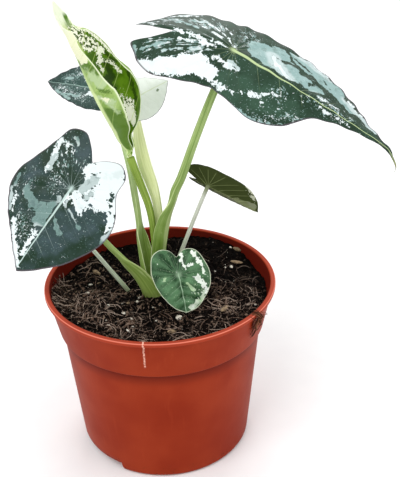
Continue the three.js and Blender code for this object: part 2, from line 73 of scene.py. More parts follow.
lens = bpy.data.cameras.new("photo_camera")
lens.sensor_width = SENSOR
lens.lens = FOCAL_PIXELS * SENSOR / IMAGE_HEIGHT
camera = bpy.data.objects.new("photo_camera", lens)
camera.matrix_world = camera_matrix(CAMERA_PLACE, LOOKS_DOWN, ROLLED)
bpy.context.scene.collection.objects.link(camera)
bpy.context.scene.camera = camera
print("camera lens in mm:", round(lens.lens, 1))

# %% [markdown]
# ## Helpers for surfaces
# A new piece is a closed skin of rings. Every ring has the same number of points, and the rings
# follow one another like the hoops of a barrel. A ring can close into a single point, a pole, at
# either end. The points are worked out as whole numpy arrays.

# %% Faces between rings
def ring_faces(rows, columns):
    """Four-sided faces between neighbouring rings, whose points wrap round."""
    row, column = np.meshgrid(np.arange(rows - 1), np.arange(columns), indexing="ij")
    after = (column + 1) % columns
    corners = [row * columns + column, row * columns + after, (row + 1) * columns + after,
               (row + 1) * columns + column]
    return np.stack(corners, -1).reshape(-1, 4)


def put_in_scene(name, points, faces, smooth=True):
    """A mesh object at the origin, whose points are given in mm."""
    mesh = bpy.data.meshes.new(name)
    mesh.from_pydata((np.asarray(points, float) * MM).tolist(), [], faces)
    mesh.polygons.foreach_set("use_smooth", np.full(len(mesh.polygons), smooth))
    mesh.update()
    piece = bpy.data.objects.new(name, mesh)
    bpy.context.scene.collection.objects.link(piece)
    return piece


print("3 rings of 4 points make", len(ring_faces(3, 4)), "faces")


# %% Closed skins made of rings
def skin(name, rings):
    """A closed piece from rings of points (rings, points, 3). The first and last ring get a pole
    at their middle. Going round the ring and then on to the next ring must turn like x, y for the
    outside to be seen."""
    rows, columns, _ = rings.shape
    poles = rings[[0, -1]].mean(1)
    points = np.concatenate([rings.reshape(-1, 3), poles])
    here = np.arange(columns)
    after = (here + 1) % columns
    low = np.stack([after, here, np.full(columns, rows * columns)], -1)
    last = (rows - 1) * columns
    high = np.stack([last + here, last + after, np.full(columns, rows * columns + 1)], -1)
    faces = ring_faces(rows, columns).tolist() + low.tolist() + high.tolist()
    return put_in_scene(name, points, faces)


def with_poles(values):
    """Values on rings (rings, points, n), laid out as skin() numbers its points."""
    values = np.asarray(values, float)
    poles = values[[0, -1]].mean(1)
    return np.concatenate([values.reshape(-1, values.shape[-1]), poles])


def spread(*numbers):
    """Three numbers for every point of a skin. Each is given on the grid of its rings, or as one
    column or one row of that grid, and is then repeated over the whole of it."""
    return with_poles(np.stack(np.broadcast_arrays(*numbers), -1))


def write_attribute(piece, name, values):
    """Three numbers for every point, which a material can read by the name."""
    layer = piece.data.attributes.new(name, "FLOAT_VECTOR", "POINT")
    layer.data.foreach_set("vector", np.asarray(values, np.float32).ravel())


print("3 rings of 4 points and their poles:", len(with_poles(np.zeros((3, 4, 3)))), "points")

# %% [markdown]
# ## Helpers for curves and unevenness
# Stalks, margins and grown profiles are drawn by a few points, and a smooth curve passes through
# all of them. A spline object would do that too, but an array is easier to measure and to bend.
# Living and crumbly things are never even, so random hills are added to their surfaces.

# %% Smooth curves through points
def through(points, count):
    """A smooth curve through the points: each stretch is a cubic whose end slopes come from the
    neighbouring points, weighted by the square roots of the distances between them."""
    points = np.asarray(points, float)
    padded = np.concatenate([[2 * points[0] - points[1]], points, [2 * points[-1] - points[-2]]])
    share = np.linspace(0, len(points) - 1, count)
    stretch = np.minimum(share.astype(int), len(points) - 2)
    t = (share - stretch)[:, None]
    a, b, c, d = (padded[stretch + k] for k in range(4))
    ab, bc, cd = (np.sqrt(np.linalg.norm(q - p, axis=1, keepdims=True)) + 1e-9
                  for p, q in ((a, b), (b, c), (c, d)))
    start = bc * ((b - a) / ab - (c - a) / (ab + bc) + (c - b) / bc)
    end = bc * ((c - b) / bc - (d - b) / (bc + cd) + (d - c) / cd)
    square = 3 * (c - b) - 2 * start - end
    cube = 2 * (b - c) + start + end
    return b + start * t + square * t**2 + cube * t**3


print("middle of a curve through three points:", through([(0, 0), (1, 1), (2, 0)], 3)[1])


# %% Repeatable unevenness
LATTICE = 64
# Moves the lattice, so that none of its lines passes through the middle of the plant.
LATTICE_START = (31.7, 17.3)


def smooth_step(value, low, high):
    """0 below low, 1 above high, and an S-shaped rise between them."""
    t = np.clip((value - low) / (high - low), 0, 1)
    return t * t * (3 - 2 * t)


def bumps(x, y, size, seed):
    """Random hills between -1 and 1, about size apart: random heights on a square lattice, with
    an S-shaped passage from each to the next."""
    lattice = np.random.default_rng(seed).uniform(-1, 1, (LATTICE, LATTICE))
    column, row = x / size + LATTICE_START[0], y / size + LATTICE_START[1]
    i, j = np.floor(column).astype(int), np.floor(row).astype(int)
    s, t = smooth_step(column - i, 0, 1), smooth_step(row - j, 0, 1)
    at = [lattice[(i + di) % LATTICE, (j + dj) % LATTICE]
          for di, dj in ((0, 0), (1, 0), (0, 1), (1, 1))]
    return (at[0] * (1 - s) + at[1] * s) * (1 - t) + (at[2] * (1 - s) + at[3] * s) * t


print("height of the first hills at the middle:", bumps(0.0, 0.0, 1, 1).round(3))

# %% [markdown]
# ## Helpers for materials
# A material is a small program of nodes. The class below wraps one output of a node, so that sums
# of outputs and numbers are written as sums, and the classes after it make the nodes.

# %% Materials written as sums
class Wire:
    """One output of a shader node. Arithmetic on it adds Math nodes."""

    def __init__(self, recipe, socket):
        self.recipe = recipe
        self.socket = socket

    def math(self, operation, *values):
        """One Math node: the operation on the values, in their order."""
        return self.recipe.node("ShaderNodeMath", {"operation": operation}, values)

    def __add__(self, other):
        return self.math("ADD", self, other)

    def __sub__(self, other):
        return self.math("SUBTRACT", self, other)

    def __rsub__(self, other):
        return self.math("SUBTRACT", other, self)

    def __mul__(self, other):
        return self.math("MULTIPLY", self, other)

    def __truediv__(self, other):
        return self.math("DIVIDE", self, other)

    def __pow__(self, other):
        return self.math("POWER", self, other)

    __radd__ = __add__
    __rmul__ = __mul__


print("ways to reckon with wires:", sum(callable(part) for part in vars(Wire).values()) - 2)


# %% A material under construction
class Nodes:
    """A material with the usual surface shader at its end. Nodes are added one by one, and the
    names of sockets are written with _ where Blender has a space."""

    def __init__(self, name, **constants):
        self.material = bpy.data.materials.new(name)
        self.material.use_nodes = True
        self.tree = self.material.node_tree
        self.shader = next(n for n in self.tree.nodes if n.type == "BSDF_PRINCIPLED")
        for socket, value in constants.items():
            self.feed(self.shader.inputs[socket.replace("_", " ")], value)

    def feed(self, socket, value):
        """Links a wire to the socket, or writes a number or a colour into it."""
        if isinstance(value, Wire):
            self.tree.links.new(value.socket, socket)
        elif isinstance(value, tuple) and len(value) == 3 and socket.type == "RGBA":
            socket.default_value = (*value, 1)
        else:
            socket.default_value = value

    def node(self, kind, settings, values, output=0):
        """Adds a node: its settings first, then the values or wires of its sockets."""
        made = self.tree.nodes.new(kind)
        for name, value in settings.items():
            setattr(made, name, value)
        named = values.items() if isinstance(values, dict) else enumerate(values)
        for key, value in named:
            self.feed(made.inputs[key], value)
        return Wire(self, made.outputs[output])

    def finish(self, **surface):
        """Feeds the surface shader, and hands over the finished material."""
        for socket, value in surface.items():
            self.feed(self.shader.inputs[socket.replace("_", " ")], value)
        return self.material


print("a Nodes material has these steps:", [name for name in vars(Nodes) if name[0] != "_"])


# %% Steps that many finishes share
class Recipe(Nodes):
    """The same, with the patterns and the mixing that a natural surface needs."""

    def parts(self, vector, count=3):
        """The first few numbers of a vector."""
        return [self.node("ShaderNodeSeparateXYZ", {}, [vector], k) for k in range(count)]

    def attribute(self, name):
        """The three numbers of an attribute, as three wires, and all of them as one vector."""
        vector = self.node("ShaderNodeAttribute", {"attribute_name": name}, {}, "Vector")
        return (*self.parts(vector), vector)

    def place(self):
        """The point on the object, in mm."""
        metres = self.node("ShaderNodeTexCoord", {}, {}, "Object")
        return self.node("ShaderNodeVectorMath", {"operation": "SCALE"},
                         {0: metres, "Scale": 1 / MM})

    def vector(self, x, y, z=0.0):
        """Three numbers as one vector."""
        return self.node("ShaderNodeCombineXYZ", {}, [x, y, z])

    def noise(self, where, scale, detail=2.0, roughness=0.5, warp=0.0):
        """Cloudy noise from 0 to 1. scale is how many clouds there are to a unit of length."""
        values = {"Vector": where, "Scale": scale, "Detail": detail, "Roughness": roughness,
                  "Distortion": warp}
        return self.node("ShaderNodeTexNoise", {}, values)

    def size_of(self, value):
        """The number without its sign."""
        return value.math("ABSOLUTE", value)

    def length(self, x, y):
        """The square root of x^2 + y^2."""
        return (x * x + y * y) ** 0.5

    def off_whole(self, number):
        """How far a number is from the nearest whole number: 0 to 0.5."""
        return number.math("PINGPONG", number + 100.0, 0.5)

    def rise(self, value, low, high):
        """0 below low, 1 above high, and an S-shaped rise between them."""
        return self.node("ShaderNodeMapRange", {"interpolation_type": "SMOOTHSTEP"},
                         {0: value, 1: low, 2: high, 3: 0.0, 4: 1.0})

    def blend(self, first, second, share):
        """The first colour where share is 0, and the second where it is 1."""
        return self.node("ShaderNodeMix", {"data_type": "RGBA"}, {0: share, 6: first, 7: second}, 2)

    def bump(self, height, depth, strength=1.0):
        """Small relief: height runs from 0 to 1, and depth is what 1 stands for, in mm."""
        return self.node("ShaderNodeBump", {},
                         {"Height": height, "Distance": depth * MM, "Strength": strength})


print("a Recipe adds:", [name for name in vars(Recipe) if name[0] != "_"])


# %% Colours, and placing a finished piece
def rgb(red, green, blue):
    """A colour as a screen shows it, 0 to 255, as the amounts of light that a shader needs."""
    screen = np.array([red, green, blue]) / 255
    light = np.where(screen < 0.04045, screen / 12.92, ((screen + 0.055) / 1.055) ** 2.4)
    return tuple(float(x) for x in light)


def place_piece(piece, nodes, material):
    """The finished piece stands for its nodes, rides with the model, and gets its material."""
    piece.data.materials.append(material)
    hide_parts(*nodes)
    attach(piece, "root")
    print(f"{piece.name}: {len(piece.data.polygons)} faces")


print("middle grey as an amount of light:", round(rgb(128, 128, 128)[0], 3))

# %% [markdown]
# ## Studio
# The plant stands on a pale floor, under a large soft light above and to the left, with a weaker
# one on the right. Large lights give soft shadows and long, gentle highlights on the leaves.

# %% Floor
# In metres. The floor lies just under the pot, so that the two don't flicker where they touch.
FLOOR_RADIUS = 9
FLOOR_LEVEL = -0.0002


def studio_floor():
    """A wide flat disc, with a finish so faintly clouded that it looks plain."""
    bpy.ops.mesh.primitive_circle_add(vertices=96, radius=FLOOR_RADIUS, fill_type="NGON",
                                      location=(0, 0, FLOOR_LEVEL))
    floor = bpy.context.object
    floor.name = "studio_floor"
    recipe = Recipe("floor_finish", Roughness=0.9)
    speckle = recipe.noise(recipe.place(), 0.05, 2.0)
    colour = recipe.blend(rgb(250, 250, 250), rgb(244, 244, 245), speckle)
    floor.data.materials.append(recipe.finish(Base_Color=colour))
    print("floor:", 2 * FLOOR_RADIUS, "m across")


studio_floor()

# %% Lights
# Each light's place and size in metres, and its power in watts.
LIGHTS = {
    "main_light": ((-0.7, -0.9, 1.5), 1.1, 13.5),
    "side_light": ((1.1, -0.5, 0.9), 0.9, 3.5),
    "back_light": ((0.2, 1.2, 1.2), 1.0, 8),
}
LIT_POINT = Vector((0, 0, 0.13))
AIR_GLOW = 0.8


def soft_light(name, place, size, watts):
    """A square glowing panel that faces the middle of the plant."""
    light = bpy.data.lights.new(name, "AREA")
    light.size = size
    light.energy = watts
    panel = bpy.data.objects.new(name, light)
    towards = LIT_POINT - Vector(place)
    panel.matrix_world = (Matrix.Translation(Vector(place))
                          @ towards.to_track_quat("-Z", "Y").to_matrix().to_4x4())
    bpy.context.scene.collection.objects.link(panel)


for light_name, facts in LIGHTS.items():
    soft_light(light_name, *facts)
world = bpy.data.worlds.new("studio_air")
world.use_nodes = True
air = world.node_tree.nodes["Background"]
air.inputs["Color"].default_value = (1, 1, 1, 1)
air.inputs["Strength"].default_value = AIR_GLOW
bpy.context.scene.world = world
bpy.context.scene.view_settings.view_transform = "Standard"
print(len(LIGHTS), "lights of", sum(watts for *_, watts in LIGHTS.values()), "watts in all")

# %% [markdown]
# ## The pot
# A nursery pot is one thin wall of moulded plastic: a body, a shoulder where the collar steps
# out, and a narrow lip. It could be a stack of cylinders, but one profile turned round the axis
# keeps the wall closed. Every corner of the profile is rounded by a small curve, because a
# moulded edge is never sharp. Two short feet are missing from the bottom edge, where the wall
# is lifted so that water can run out.

# %% Sizes of the pot, in mm
POT_HEIGHT = 94
RIM_RADIUS = 60
RIM_DEPTH = 2
RIM_INNER = 57.4
COLLAR_TOP = 58.5
COLLAR_BOTTOM = 54.1
SHOULDER = 71
BODY_TOP = 52.4
BODY_BOTTOM = 45.7
WALL = 1.3
FLOOR = 1.6
NOTCH_HEIGHT = 5
NOTCH_INNER = 38
NOTCH_WIDTH = 47
NOTCH_CENTRES = (-143, 37)
POT_COLUMNS = 480
# The middle of the collar's wall: its radius at the shoulder, and how it leans out with height.
INNER_MIDDLE = 53.5
INNER_LEAN = 0.19
# Where a thin pale scrape runs down the front of the collar.
SCRAPE_X = -6.2
print(f"pot: {2 * RIM_RADIUS} mm across, {POT_HEIGHT} mm high, walls of {WALL} mm")

# %% Corners of the pot's wall
# For each corner: its radius, its height, and how far it is rounded.
POT_CORNERS = np.array([
    (0.5, 0, 0), (12, 0, 0), (24, 0, 0), (NOTCH_INNER - 1, 0, 0), (NOTCH_INNER, 0, 0),
    (NOTCH_INNER + 0.5, 0, 0), (BODY_BOTTOM - 2.6, 0, 0), (BODY_BOTTOM, 0.2, 2),
    (BODY_TOP, SHOULDER - 0.6, 0.9), (COLLAR_BOTTOM, SHOULDER, 0.7),
    (COLLAR_TOP, POT_HEIGHT - RIM_DEPTH, 0.5), (RIM_RADIUS, POT_HEIGHT - RIM_DEPTH, 0.5),
    (RIM_RADIUS, POT_HEIGHT, 0.7), (RIM_INNER, POT_HEIGHT, 0.6),
    (COLLAR_BOTTOM - WALL, SHOULDER + 1, 0.8), (BODY_TOP - WALL, SHOULDER - 0.6, 0.8),
    (BODY_BOTTOM - WALL, FLOOR, 2.4), (NOTCH_INNER - 0.8, FLOOR, 0), (NOTCH_INNER - 1.4, FLOOR, 0),
    (24, FLOOR, 0), (12, FLOOR, 0), (0.5, FLOOR, 0),
])
ARC_POINTS = 7
LONGEST_STEP = 2.5


def rounded_profile(corners):
    """The outline through the corners. At a corner, P = (1-t)^2 A + 2t(1-t) C + t^2 B replaces
    the sharp point C by a curve between A and B, which lie the given distance away from it.
    Long straight stretches get points in between."""
    outline = [corners[0, :2]]
    for before, corner, after in zip(corners[:-2], corners[1:-1], corners[2:]):
        c, size = corner[:2], corner[2]
        if size == 0:
            outline.append(c)
            continue
        back = (before[:2] - c) / np.linalg.norm(before[:2] - c)
        ahead = (after[:2] - c) / np.linalg.norm(after[:2] - c)
        t = np.linspace(0, 1, ARC_POINTS)[:, None]
        arc = c + size * ((1 - t) ** 2 * back + t**2 * ahead)
        outline.extend([c + back * (size + 0.2), *arc, c + ahead * (size + 0.2)])
    outline.append(corners[-1, :2])
    outline = np.array(outline)
    length = np.concatenate([[0], np.cumsum(np.linalg.norm(np.diff(outline, axis=0), axis=1))])
    extra = [np.linspace(a, b, int((b - a) / LONGEST_STEP) + 2)[1:-1]
             for a, b in zip(length[:-1], length[1:])]
    wanted = np.unique(np.concatenate([length, *extra]))
    return np.stack([np.interp(wanted, length, outline[:, k]) for k in (0, 1)], -1)


print(len(POT_CORNERS), "corners become", len(rounded_profile(POT_CORNERS)), "points")


# %% Turn the profile and lift it at the notches
def turned(profile, columns):
    """Every point of the profile becomes a ring about the upright axis."""
    angle = np.linspace(0, 2 * np.pi, columns, endpoint=False)
    radius, height = profile[:, :1], profile[:, 1:]
    return np.stack([radius * np.cos(angle), radius * np.sin(angle),
                     height + 0 * angle], -1)


def notch_share(angle):
    """1 inside the two notches and 0 outside them, with a short slope between."""
    share = np.zeros_like(angle)
    for centre in NOTCH_CENTRES:
        off = np.abs((angle - np.radians(centre) + np.pi) % (2 * np.pi) - np.pi)
        share = np.maximum(share, 1 - smooth_step(off, np.radians(NOTCH_WIDTH / 2 - 0.7),
                                                  np.radians(NOTCH_WIDTH / 2 + 0.7)))
    return share


def pot_rings():
    """The turned profile, whose low points inside a notch are lifted onto its ceiling."""
    profile = rounded_profile(POT_CORNERS)
    rings = turned(profile, POT_COLUMNS)
    peak = int(np.argmax(profile[:, 1]))
    inside = (np.arange(len(profile)) > peak)[:, None]
    radius = np.hypot(rings[..., 0], rings[..., 1])
    ceiling = np.where(inside, NOTCH_HEIGHT + WALL, NOTCH_HEIGHT)
    edge = np.where(inside, NOTCH_INNER - WALL, NOTCH_INNER)
    lifted = np.maximum(rings[..., 2], ceiling * smooth_step(radius, edge - 0.2, edge + 0.6))
    share = notch_share(np.arctan2(rings[..., 1], rings[..., 0]))
    rings[..., 2] += share * (lifted - rings[..., 2])
    return rings


pot = skin("pot_wall", pot_rings())
print("turned pot, in mm:", [round(side / MM, 1) for side in pot.dimensions])

# %% Drain holes and slots, in mm
HOLES = 6
HOLE_RADIUS = 3.5
HOLE_DEPTH = 6
HOLE_CIRCLE = 27
SLOT_SIZE = (3.5, 11, 4)
SLOT_CIRCLE = 41
SLOT_LEVEL = 5.6


def on_circle(radius, angle, height):
    """A place in metres, from its distance to the axis, its compass angle and its height."""
    return radius * MM * np.cos(angle), radius * MM * np.sin(angle), height * MM


def drain_cutter():
    """Six round drain holes through the floor and a slot through each notch's ceiling."""
    parts = []
    for k in range(HOLES):
        place = on_circle(HOLE_CIRCLE, np.radians(360 / HOLES * (k + 0.5)), FLOOR / 2)
        bpy.ops.mesh.primitive_cylinder_add(vertices=48, radius=HOLE_RADIUS * MM,
                                            depth=HOLE_DEPTH * MM, location=place)
        parts.append(bpy.context.object)
    for centre in NOTCH_CENTRES:
        angle = np.radians(centre)
        bpy.ops.mesh.primitive_cube_add(size=1, rotation=(0, 0, angle),
                                        location=on_circle(SLOT_CIRCLE, angle, SLOT_LEVEL))
        bpy.context.object.scale = [side * MM for side in SLOT_SIZE]
        parts.append(bpy.context.object)
    with bpy.context.temp_override(active_object=parts[0], selected_editable_objects=parts):
        bpy.ops.object.join()
    return parts[0]


cutter = drain_cutter()
print("the cutter has", len(cutter.data.vertices), "points")


# %% Cut the holes
def cut_away(piece, cutter):
    """Takes the cutter out of the piece for good, and removes the cutter."""
    cut = piece.modifiers.new("drain", "BOOLEAN")
    cut.object = cutter
    cut.solver = "EXACT"
    shown = piece.evaluated_get(bpy.context.evaluated_depsgraph_get())
    mesh = bpy.data.meshes.new_from_object(shown)
    piece.modifiers.clear()
    old, piece.data = piece.data, mesh
    bpy.data.meshes.remove(old)
    bpy.data.objects.remove(cutter)


cut_away(pot, cutter)
print("with holes and slots:", len(pot.data.polygons), "faces")


# %% Terracotta-coloured plastic
def pot_finish():
    """Slightly glossy dyed plastic: faint flow streaks down the wall, a fine orange-peel surface,
    pale scratches near the rim, and soil dust that has washed down the wall. Painted shade darkens
    the inner wall, and a painted highlight lightens the lip and most of all its outer edge."""
    recipe = Recipe("pot_plastic", Specular_IOR_Level=0.05)
    place = recipe.place()
    x, y, z = recipe.parts(place)
    cloud = recipe.noise(place, 0.035, 3.0)
    streak = recipe.noise(recipe.vector(x, y, z * 0.08), 0.35, 3.0, 0.6)
    colour = recipe.blend(rgb(150, 52, 25), rgb(136, 41, 18), recipe.rise(cloud, 0.3, 0.7))
    colour = recipe.blend(colour, rgb(172, 68, 36), recipe.rise(streak, 0.55, 0.85) * 0.3)
    radius = recipe.length(x, y)
    # Painted shade: the inner wall above the soil is darkened to a deep red.
    middle = INNER_MIDDLE + (z - SHOULDER) * INNER_LEAN
    within = (1 - recipe.rise(radius - middle, -0.5, 0.0)) * recipe.rise(z, 60.0, 74.0)
    colour = recipe.blend(colour, rgb(96, 24, 14), within * (1 - recipe.rise(z, 93.3, 93.9)))
    # Painted highlight: the lip is lightened, and its outer rounded edge much more.
    rim = recipe.rise(z, 92.0, 92.3) * recipe.rise(radius, 57.6, 58.4)
    colour = recipe.blend(colour, rgb(190, 78, 56), rim * 0.35)
    painted_lip_highlight = recipe.rise(radius, 59.4, 59.8) * recipe.rise(z, 93.4, 93.8)
    colour = recipe.blend(colour, rgb(240, 140, 118), painted_lip_highlight * 0.75)
    dust = recipe.noise(place, 0.45, 6.0, 0.7, 0.6)
    low = 1 - recipe.rise(z, 2.0, 16.0)
    soiled = recipe.rise(dust + low * 0.1, 0.66, 0.76)
    colour = recipe.blend(colour, rgb(78, 44, 30), soiled * 0.5)
    scratch = recipe.noise(recipe.vector(x, y * 0.3, z * 0.05), 2.2, 4.0, 0.75)
    scratched = recipe.rise(scratch, 0.70, 0.76) * recipe.rise(z, 70.0, 92.0)
    colour = recipe.blend(colour, rgb(206, 120, 92), scratched * 0.4)
    wander = recipe.noise(recipe.vector(z * 0.35, 0.0, 3.0), 1.0, 3.0, 0.7)
    aside = recipe.size_of(x - SCRAPE_X + (wander - 0.5) * 1.6)
    gaps = recipe.noise(recipe.vector(x * 0.6, 0.0, z * 0.9), 1.3, 3.0, 0.7)
    scrape = (1 - recipe.rise(aside, 0.25, 0.6)) * recipe.rise(gaps, 0.42, 0.52)
    scrape = scrape * recipe.rise(z, 77.0, 78.5)
    scrape = scrape * (1 - recipe.rise(y, -50.0, -48.0))
    colour = recipe.blend(colour, rgb(240, 186, 166), scrape * 0.85)
    rough = 0.4 + soiled * 0.3 + recipe.rise(cloud, 0.3, 0.7) * 0.08
    relief = recipe.noise(place, 1.6, 4.0, 0.65) + scratched * 0.3
    return recipe.finish(Base_Color=colour, Roughness=rough, Normal=recipe.bump(relief, 0.05, 0.5))


place_piece(pot, ["nursery_pot"], pot_finish())

# %% [markdown]
# ## Potting soil
# Peat soil is a dark, uneven bed with loose crumbs, pale fibres, and grains of perlite and bark.
# The bed is a height field: for each place, one height. Crumbs and fibres are separate small
# shapes, gathered into a few meshes, because a height field can't overhang.

# %% Height of the soil
SOIL_LEVEL = 84.5
SOIL_RISE = 0.0007
# The heaps: place x, y, height, and twice the square of their spread, in mm.
SOIL_HEAPS = [(28, 48, 5, 700), (-38, -18, 3, 500)]
# The sizes of the lumps, their heights, and the seed of each.
SOIL_LUMPS = [(8, 0.7, 1), (3.7, 0.6, 2), (1.9, 0.5, 3), (1.0, 0.38, 4), (0.6, 0.24, 5)]


def soil_plan(x, y):
    """The broad shape: a shallow dish, heaped at the right rear and at the left front, with a
    slight ripple."""
    height = SOIL_LEVEL + SOIL_RISE * (x**2 + y**2) + 0.6 * np.sin(x / 6.5 + 1) * np.cos(y / 7.5)
    for heap_x, heap_y, rise, spread in SOIL_HEAPS:
        height = height + rise * np.exp(-((x - heap_x) ** 2 + (y - heap_y) ** 2) / spread)
    return height


def soil_height(x, y):
    """The broad shape with five sizes of lumps on it, each smaller one lower than the last."""
    height = soil_plan(x, y) - 0.3
    for size, rise, seed in SOIL_LUMPS:
        height = height + rise * bumps(x, y, size, seed)
    return height


print("soil in the middle:", round(float(soil_height(0, 0)), 1), "mm high")

# %% Rings of the bed
CLEARANCE = 0.3
SOIL_COLUMNS = 540
# The buried sides, from the bottom up: radius and height.
SOIL_SIDES = np.array([(4, 8), (36, 8), (43.5, 9), (44.6, 13), (49.6, 66), (50.6, 70),
                       (52.2, 73.5), (54.6, 81)])


def inner_radius(height):
    """The radius of the collar's inner face at a height."""
    share = (height - SHOULDER - 1.2) / (POT_HEIGHT - SHOULDER - 1.2)
    return COLLAR_BOTTOM - WALL + share * (RIM_INNER - COLLAR_BOTTOM + WALL)


def soil_rings():
    """The buried sides of the bed, then rings from the wall in to the middle of its top."""
    radius = np.linspace(1, 0.005, 138)[:, None]
    angle = np.linspace(0, 2 * np.pi, SOIL_COLUMNS, endpoint=False)
    edge = inner_radius(SOIL_LEVEL) - CLEARANCE
    x, y = radius * edge * np.cos(angle), radius * edge * np.sin(angle)
    height = soil_height(x, y)
    spread = (inner_radius(height) - CLEARANCE) / edge
    top = np.stack([x * spread, y * spread, height], -1)
    return np.concatenate([turned(SOIL_SIDES, SOIL_COLUMNS), top])


print("inner radius of the pot at the soil:", round(inner_radius(SOIL_LEVEL), 1), "mm")


# %% Random places on the soil
# Where fibres lie thickest: x, y and the spread of each patch, in mm.
FIBRE_PATCHES = [(-38, -18, 14), (38, -12, 13), (20, -42, 12), (-14, -34, 9)]


def soil_spots(generator, count, reach=54.5):
    """Random places on the soil, evenly spread over a disc."""
    radius = reach * np.sqrt(generator.uniform(0, 1, count))
    angle = generator.uniform(0, 2 * np.pi, count)
    return radius * np.cos(angle), radius * np.sin(angle)


def fibre_spots(generator, count, reach):
    """Random places, most of them near the patches: a place far from every patch is mostly
    dropped, with a chance of exp(-distance^2 / spread^2)."""
    x, y = soil_spots(generator, count * 4, reach)
    near = [np.exp(-((x - px) ** 2 + (y - py) ** 2) / spread**2)
            for px, py, spread in FIBRE_PATCHES]
    kept = generator.uniform(0, 1, len(x)) < 0.12 + np.max(near, 0)
    return x[kept][:count], y[kept][:count]


print("fibres lie thickest in", len(FIBRE_PATCHES), "patches")


# %% Crumbs, as lumps pushed out of shape
def lump(splits=1):
    """The corners and faces of a ball of 20 triangles, or of 80 or 320 where they are split."""
    bpy.ops.mesh.primitive_ico_sphere_add(subdivisions=splits, radius=1)
    ball = bpy.context.object
    mesh = ball.data
    points = np.empty(3 * len(mesh.vertices))
    corners = np.empty(3 * len(mesh.polygons), int)
    mesh.vertices.foreach_get("co", points)
    mesh.polygons.foreach_get("vertices", corners)
    bpy.data.objects.remove(ball)
    return points.reshape(-1, 3), corners.reshape(-1, 3)


def random_turns(generator, count):
    """Random rotation matrices, from random four-number quaternions."""
    w, x, y, z = (q := generator.normal(size=(4, count))) / np.linalg.norm(q, axis=0)
    return np.array([
        [1 - 2 * (y * y + z * z), 2 * (x * y - z * w), 2 * (x * z + y * w)],
        [2 * (x * y + z * w), 1 - 2 * (x * x + z * z), 2 * (y * z - x * w)],
        [2 * (x * z - y * w), 2 * (y * z + x * w), 1 - 2 * (x * x + y * y)],
    ]).transpose(2, 0, 1)


def crumb_mesh(name, count, sizes, flatness, seed, rough=0.4, lift=0.1):
    """Many angular lumps. Each is squashed, its corners pushed in and out at random, and it is
    then turned and laid on the soil, with its middle higher by lift times its size."""
    generator = np.random.default_rng(seed)
    points, corners = lump()
    x, y = soil_spots(generator, count)
    size = np.exp(generator.uniform(np.log(sizes[0]), np.log(sizes[1]), count))[:, None, None]
    squash = generator.uniform(flatness, 1, (count, 1, 3))
    push = 1 + generator.uniform(-rough, rough, (count, len(points), 1))
    shapes = points * push * squash * size
    shapes = np.einsum("nij,nkj->nki", random_turns(generator, count), shapes)
    height = soil_height(x, y) + size[:, 0, 0] * lift
    shapes += np.stack([x, y, height], -1)[:, None]
    faces = corners + (np.arange(count) * len(points))[:, None, None]
    piece = put_in_scene(name, shapes.reshape(-1, 3), faces.reshape(-1, 3).tolist(), False)
    tint = np.repeat(generator.uniform(0, 1, (count, 1)), len(points), 0)
    write_attribute(piece, "grain", np.repeat(tint, 3, 1))
    return piece


ball_points, ball_faces = lump()
print("a lump has", len(ball_points), "corners and", len(ball_faces), "triangles")

# %% Threads
THREAD_SIDES = 6


def thread_mesh(name, centre, thick, generator):
    """A thin six-sided tube along every route (threads, steps, 3), thinner towards its ends."""
    threads, steps, _ = centre.shape
    sides = THREAD_SIDES
    share = np.linspace(-0.5, 0.5, steps)
    tangent = np.gradient(centre, axis=1)
    tangent /= np.linalg.norm(tangent, axis=2, keepdims=True)
    side = np.cross(tangent, [0.1, 0.05, 1.0])
    side /= np.linalg.norm(side, axis=2, keepdims=True)
    other = np.cross(side, tangent)
    angle = np.arange(sides) * 2 * np.pi / sides
    taper = (thick[:, None] * (1 - 1.6 * share**2))[..., None, None]
    ring = (np.cos(angle)[:, None] * side[:, :, None] + np.sin(angle)[:, None] * other[:, :, None])
    rings = centre[:, :, None] + taper * ring
    number = steps * sides
    tube = ring_faces(steps, sides)[:, ::-1]
    offset = (np.arange(threads) * number)[:, None, None]
    caps = np.array([np.arange(sides), (steps - 1) * sides + np.arange(sides)[::-1]])
    faces = (tube + offset).reshape(-1, 4).tolist() + (caps + offset).reshape(-1, sides).tolist()
    piece = put_in_scene(name, rings.reshape(-1, 3), faces)
    tint = np.repeat(generator.uniform(0, 1, (threads, 1)), number, 0)
    write_attribute(piece, "grain", np.repeat(tint, 3, 1))
    return piece


print("every thread is a tube with", THREAD_SIDES, "sides")


# %% Fibres that lie on the soil
def fibre_mesh(name, count, seed):
    """Many thin bent threads. Each follows a shallow arc that starts and ends in the soil."""
    generator = np.random.default_rng(seed)
    steps = 9
    x, y = fibre_spots(generator, count, 52)
    count = len(x)
    heading = generator.uniform(0, np.pi, count)
    length = generator.uniform(2.5, 13, count)
    curl = generator.normal(0, 0.12, count)
    thick = generator.uniform(0.3, 0.52, count) ** 2
    share = np.linspace(-0.5, 0.5, steps)
    along = share * length[:, None]
    aside = curl[:, None] * length[:, None] * (0.25 - share**2) * 4
    px = x[:, None] + along * np.cos(heading)[:, None] - aside * np.sin(heading)[:, None]
    py = y[:, None] + along * np.sin(heading)[:, None] + aside * np.cos(heading)[:, None]
    keep = np.hypot(px, py).max(1) < 54
    lift = generator.uniform(0.1, 1.5, count)[:, None] * (0.25 - share**2) * 4
    pz = soil_height(px, py) * 0.5 + soil_plan(px, py) * 0.5 + lift
    return thread_mesh(name, np.stack([px, py, pz], -1)[keep], thick[keep], generator)


few = fibre_spots(np.random.default_rng(1), 1000, 52)[0]
print("of 4000 places tried for fibres, at most 1000 are kept:", len(few))

# %% Fibres that lean on the wall
# Their middle compass angle in degrees, where they start and where they end, in mm, and how
# thick these fibres and the roots are.
LEANING_ANGLE = 191
LEANING_STARTS = (47, 53.5)
LEANING_CLIMBS = (1, 6.6)
LEANING_TOP = 92.6
ROOT_THICKNESS = (0.1, 0.26)


def in_space(radius, angle, height):
    """Routes from their distances to the axis, their compass angles and their heights."""
    return np.stack([radius * np.cos(angle), radius * np.sin(angle), height], -1)


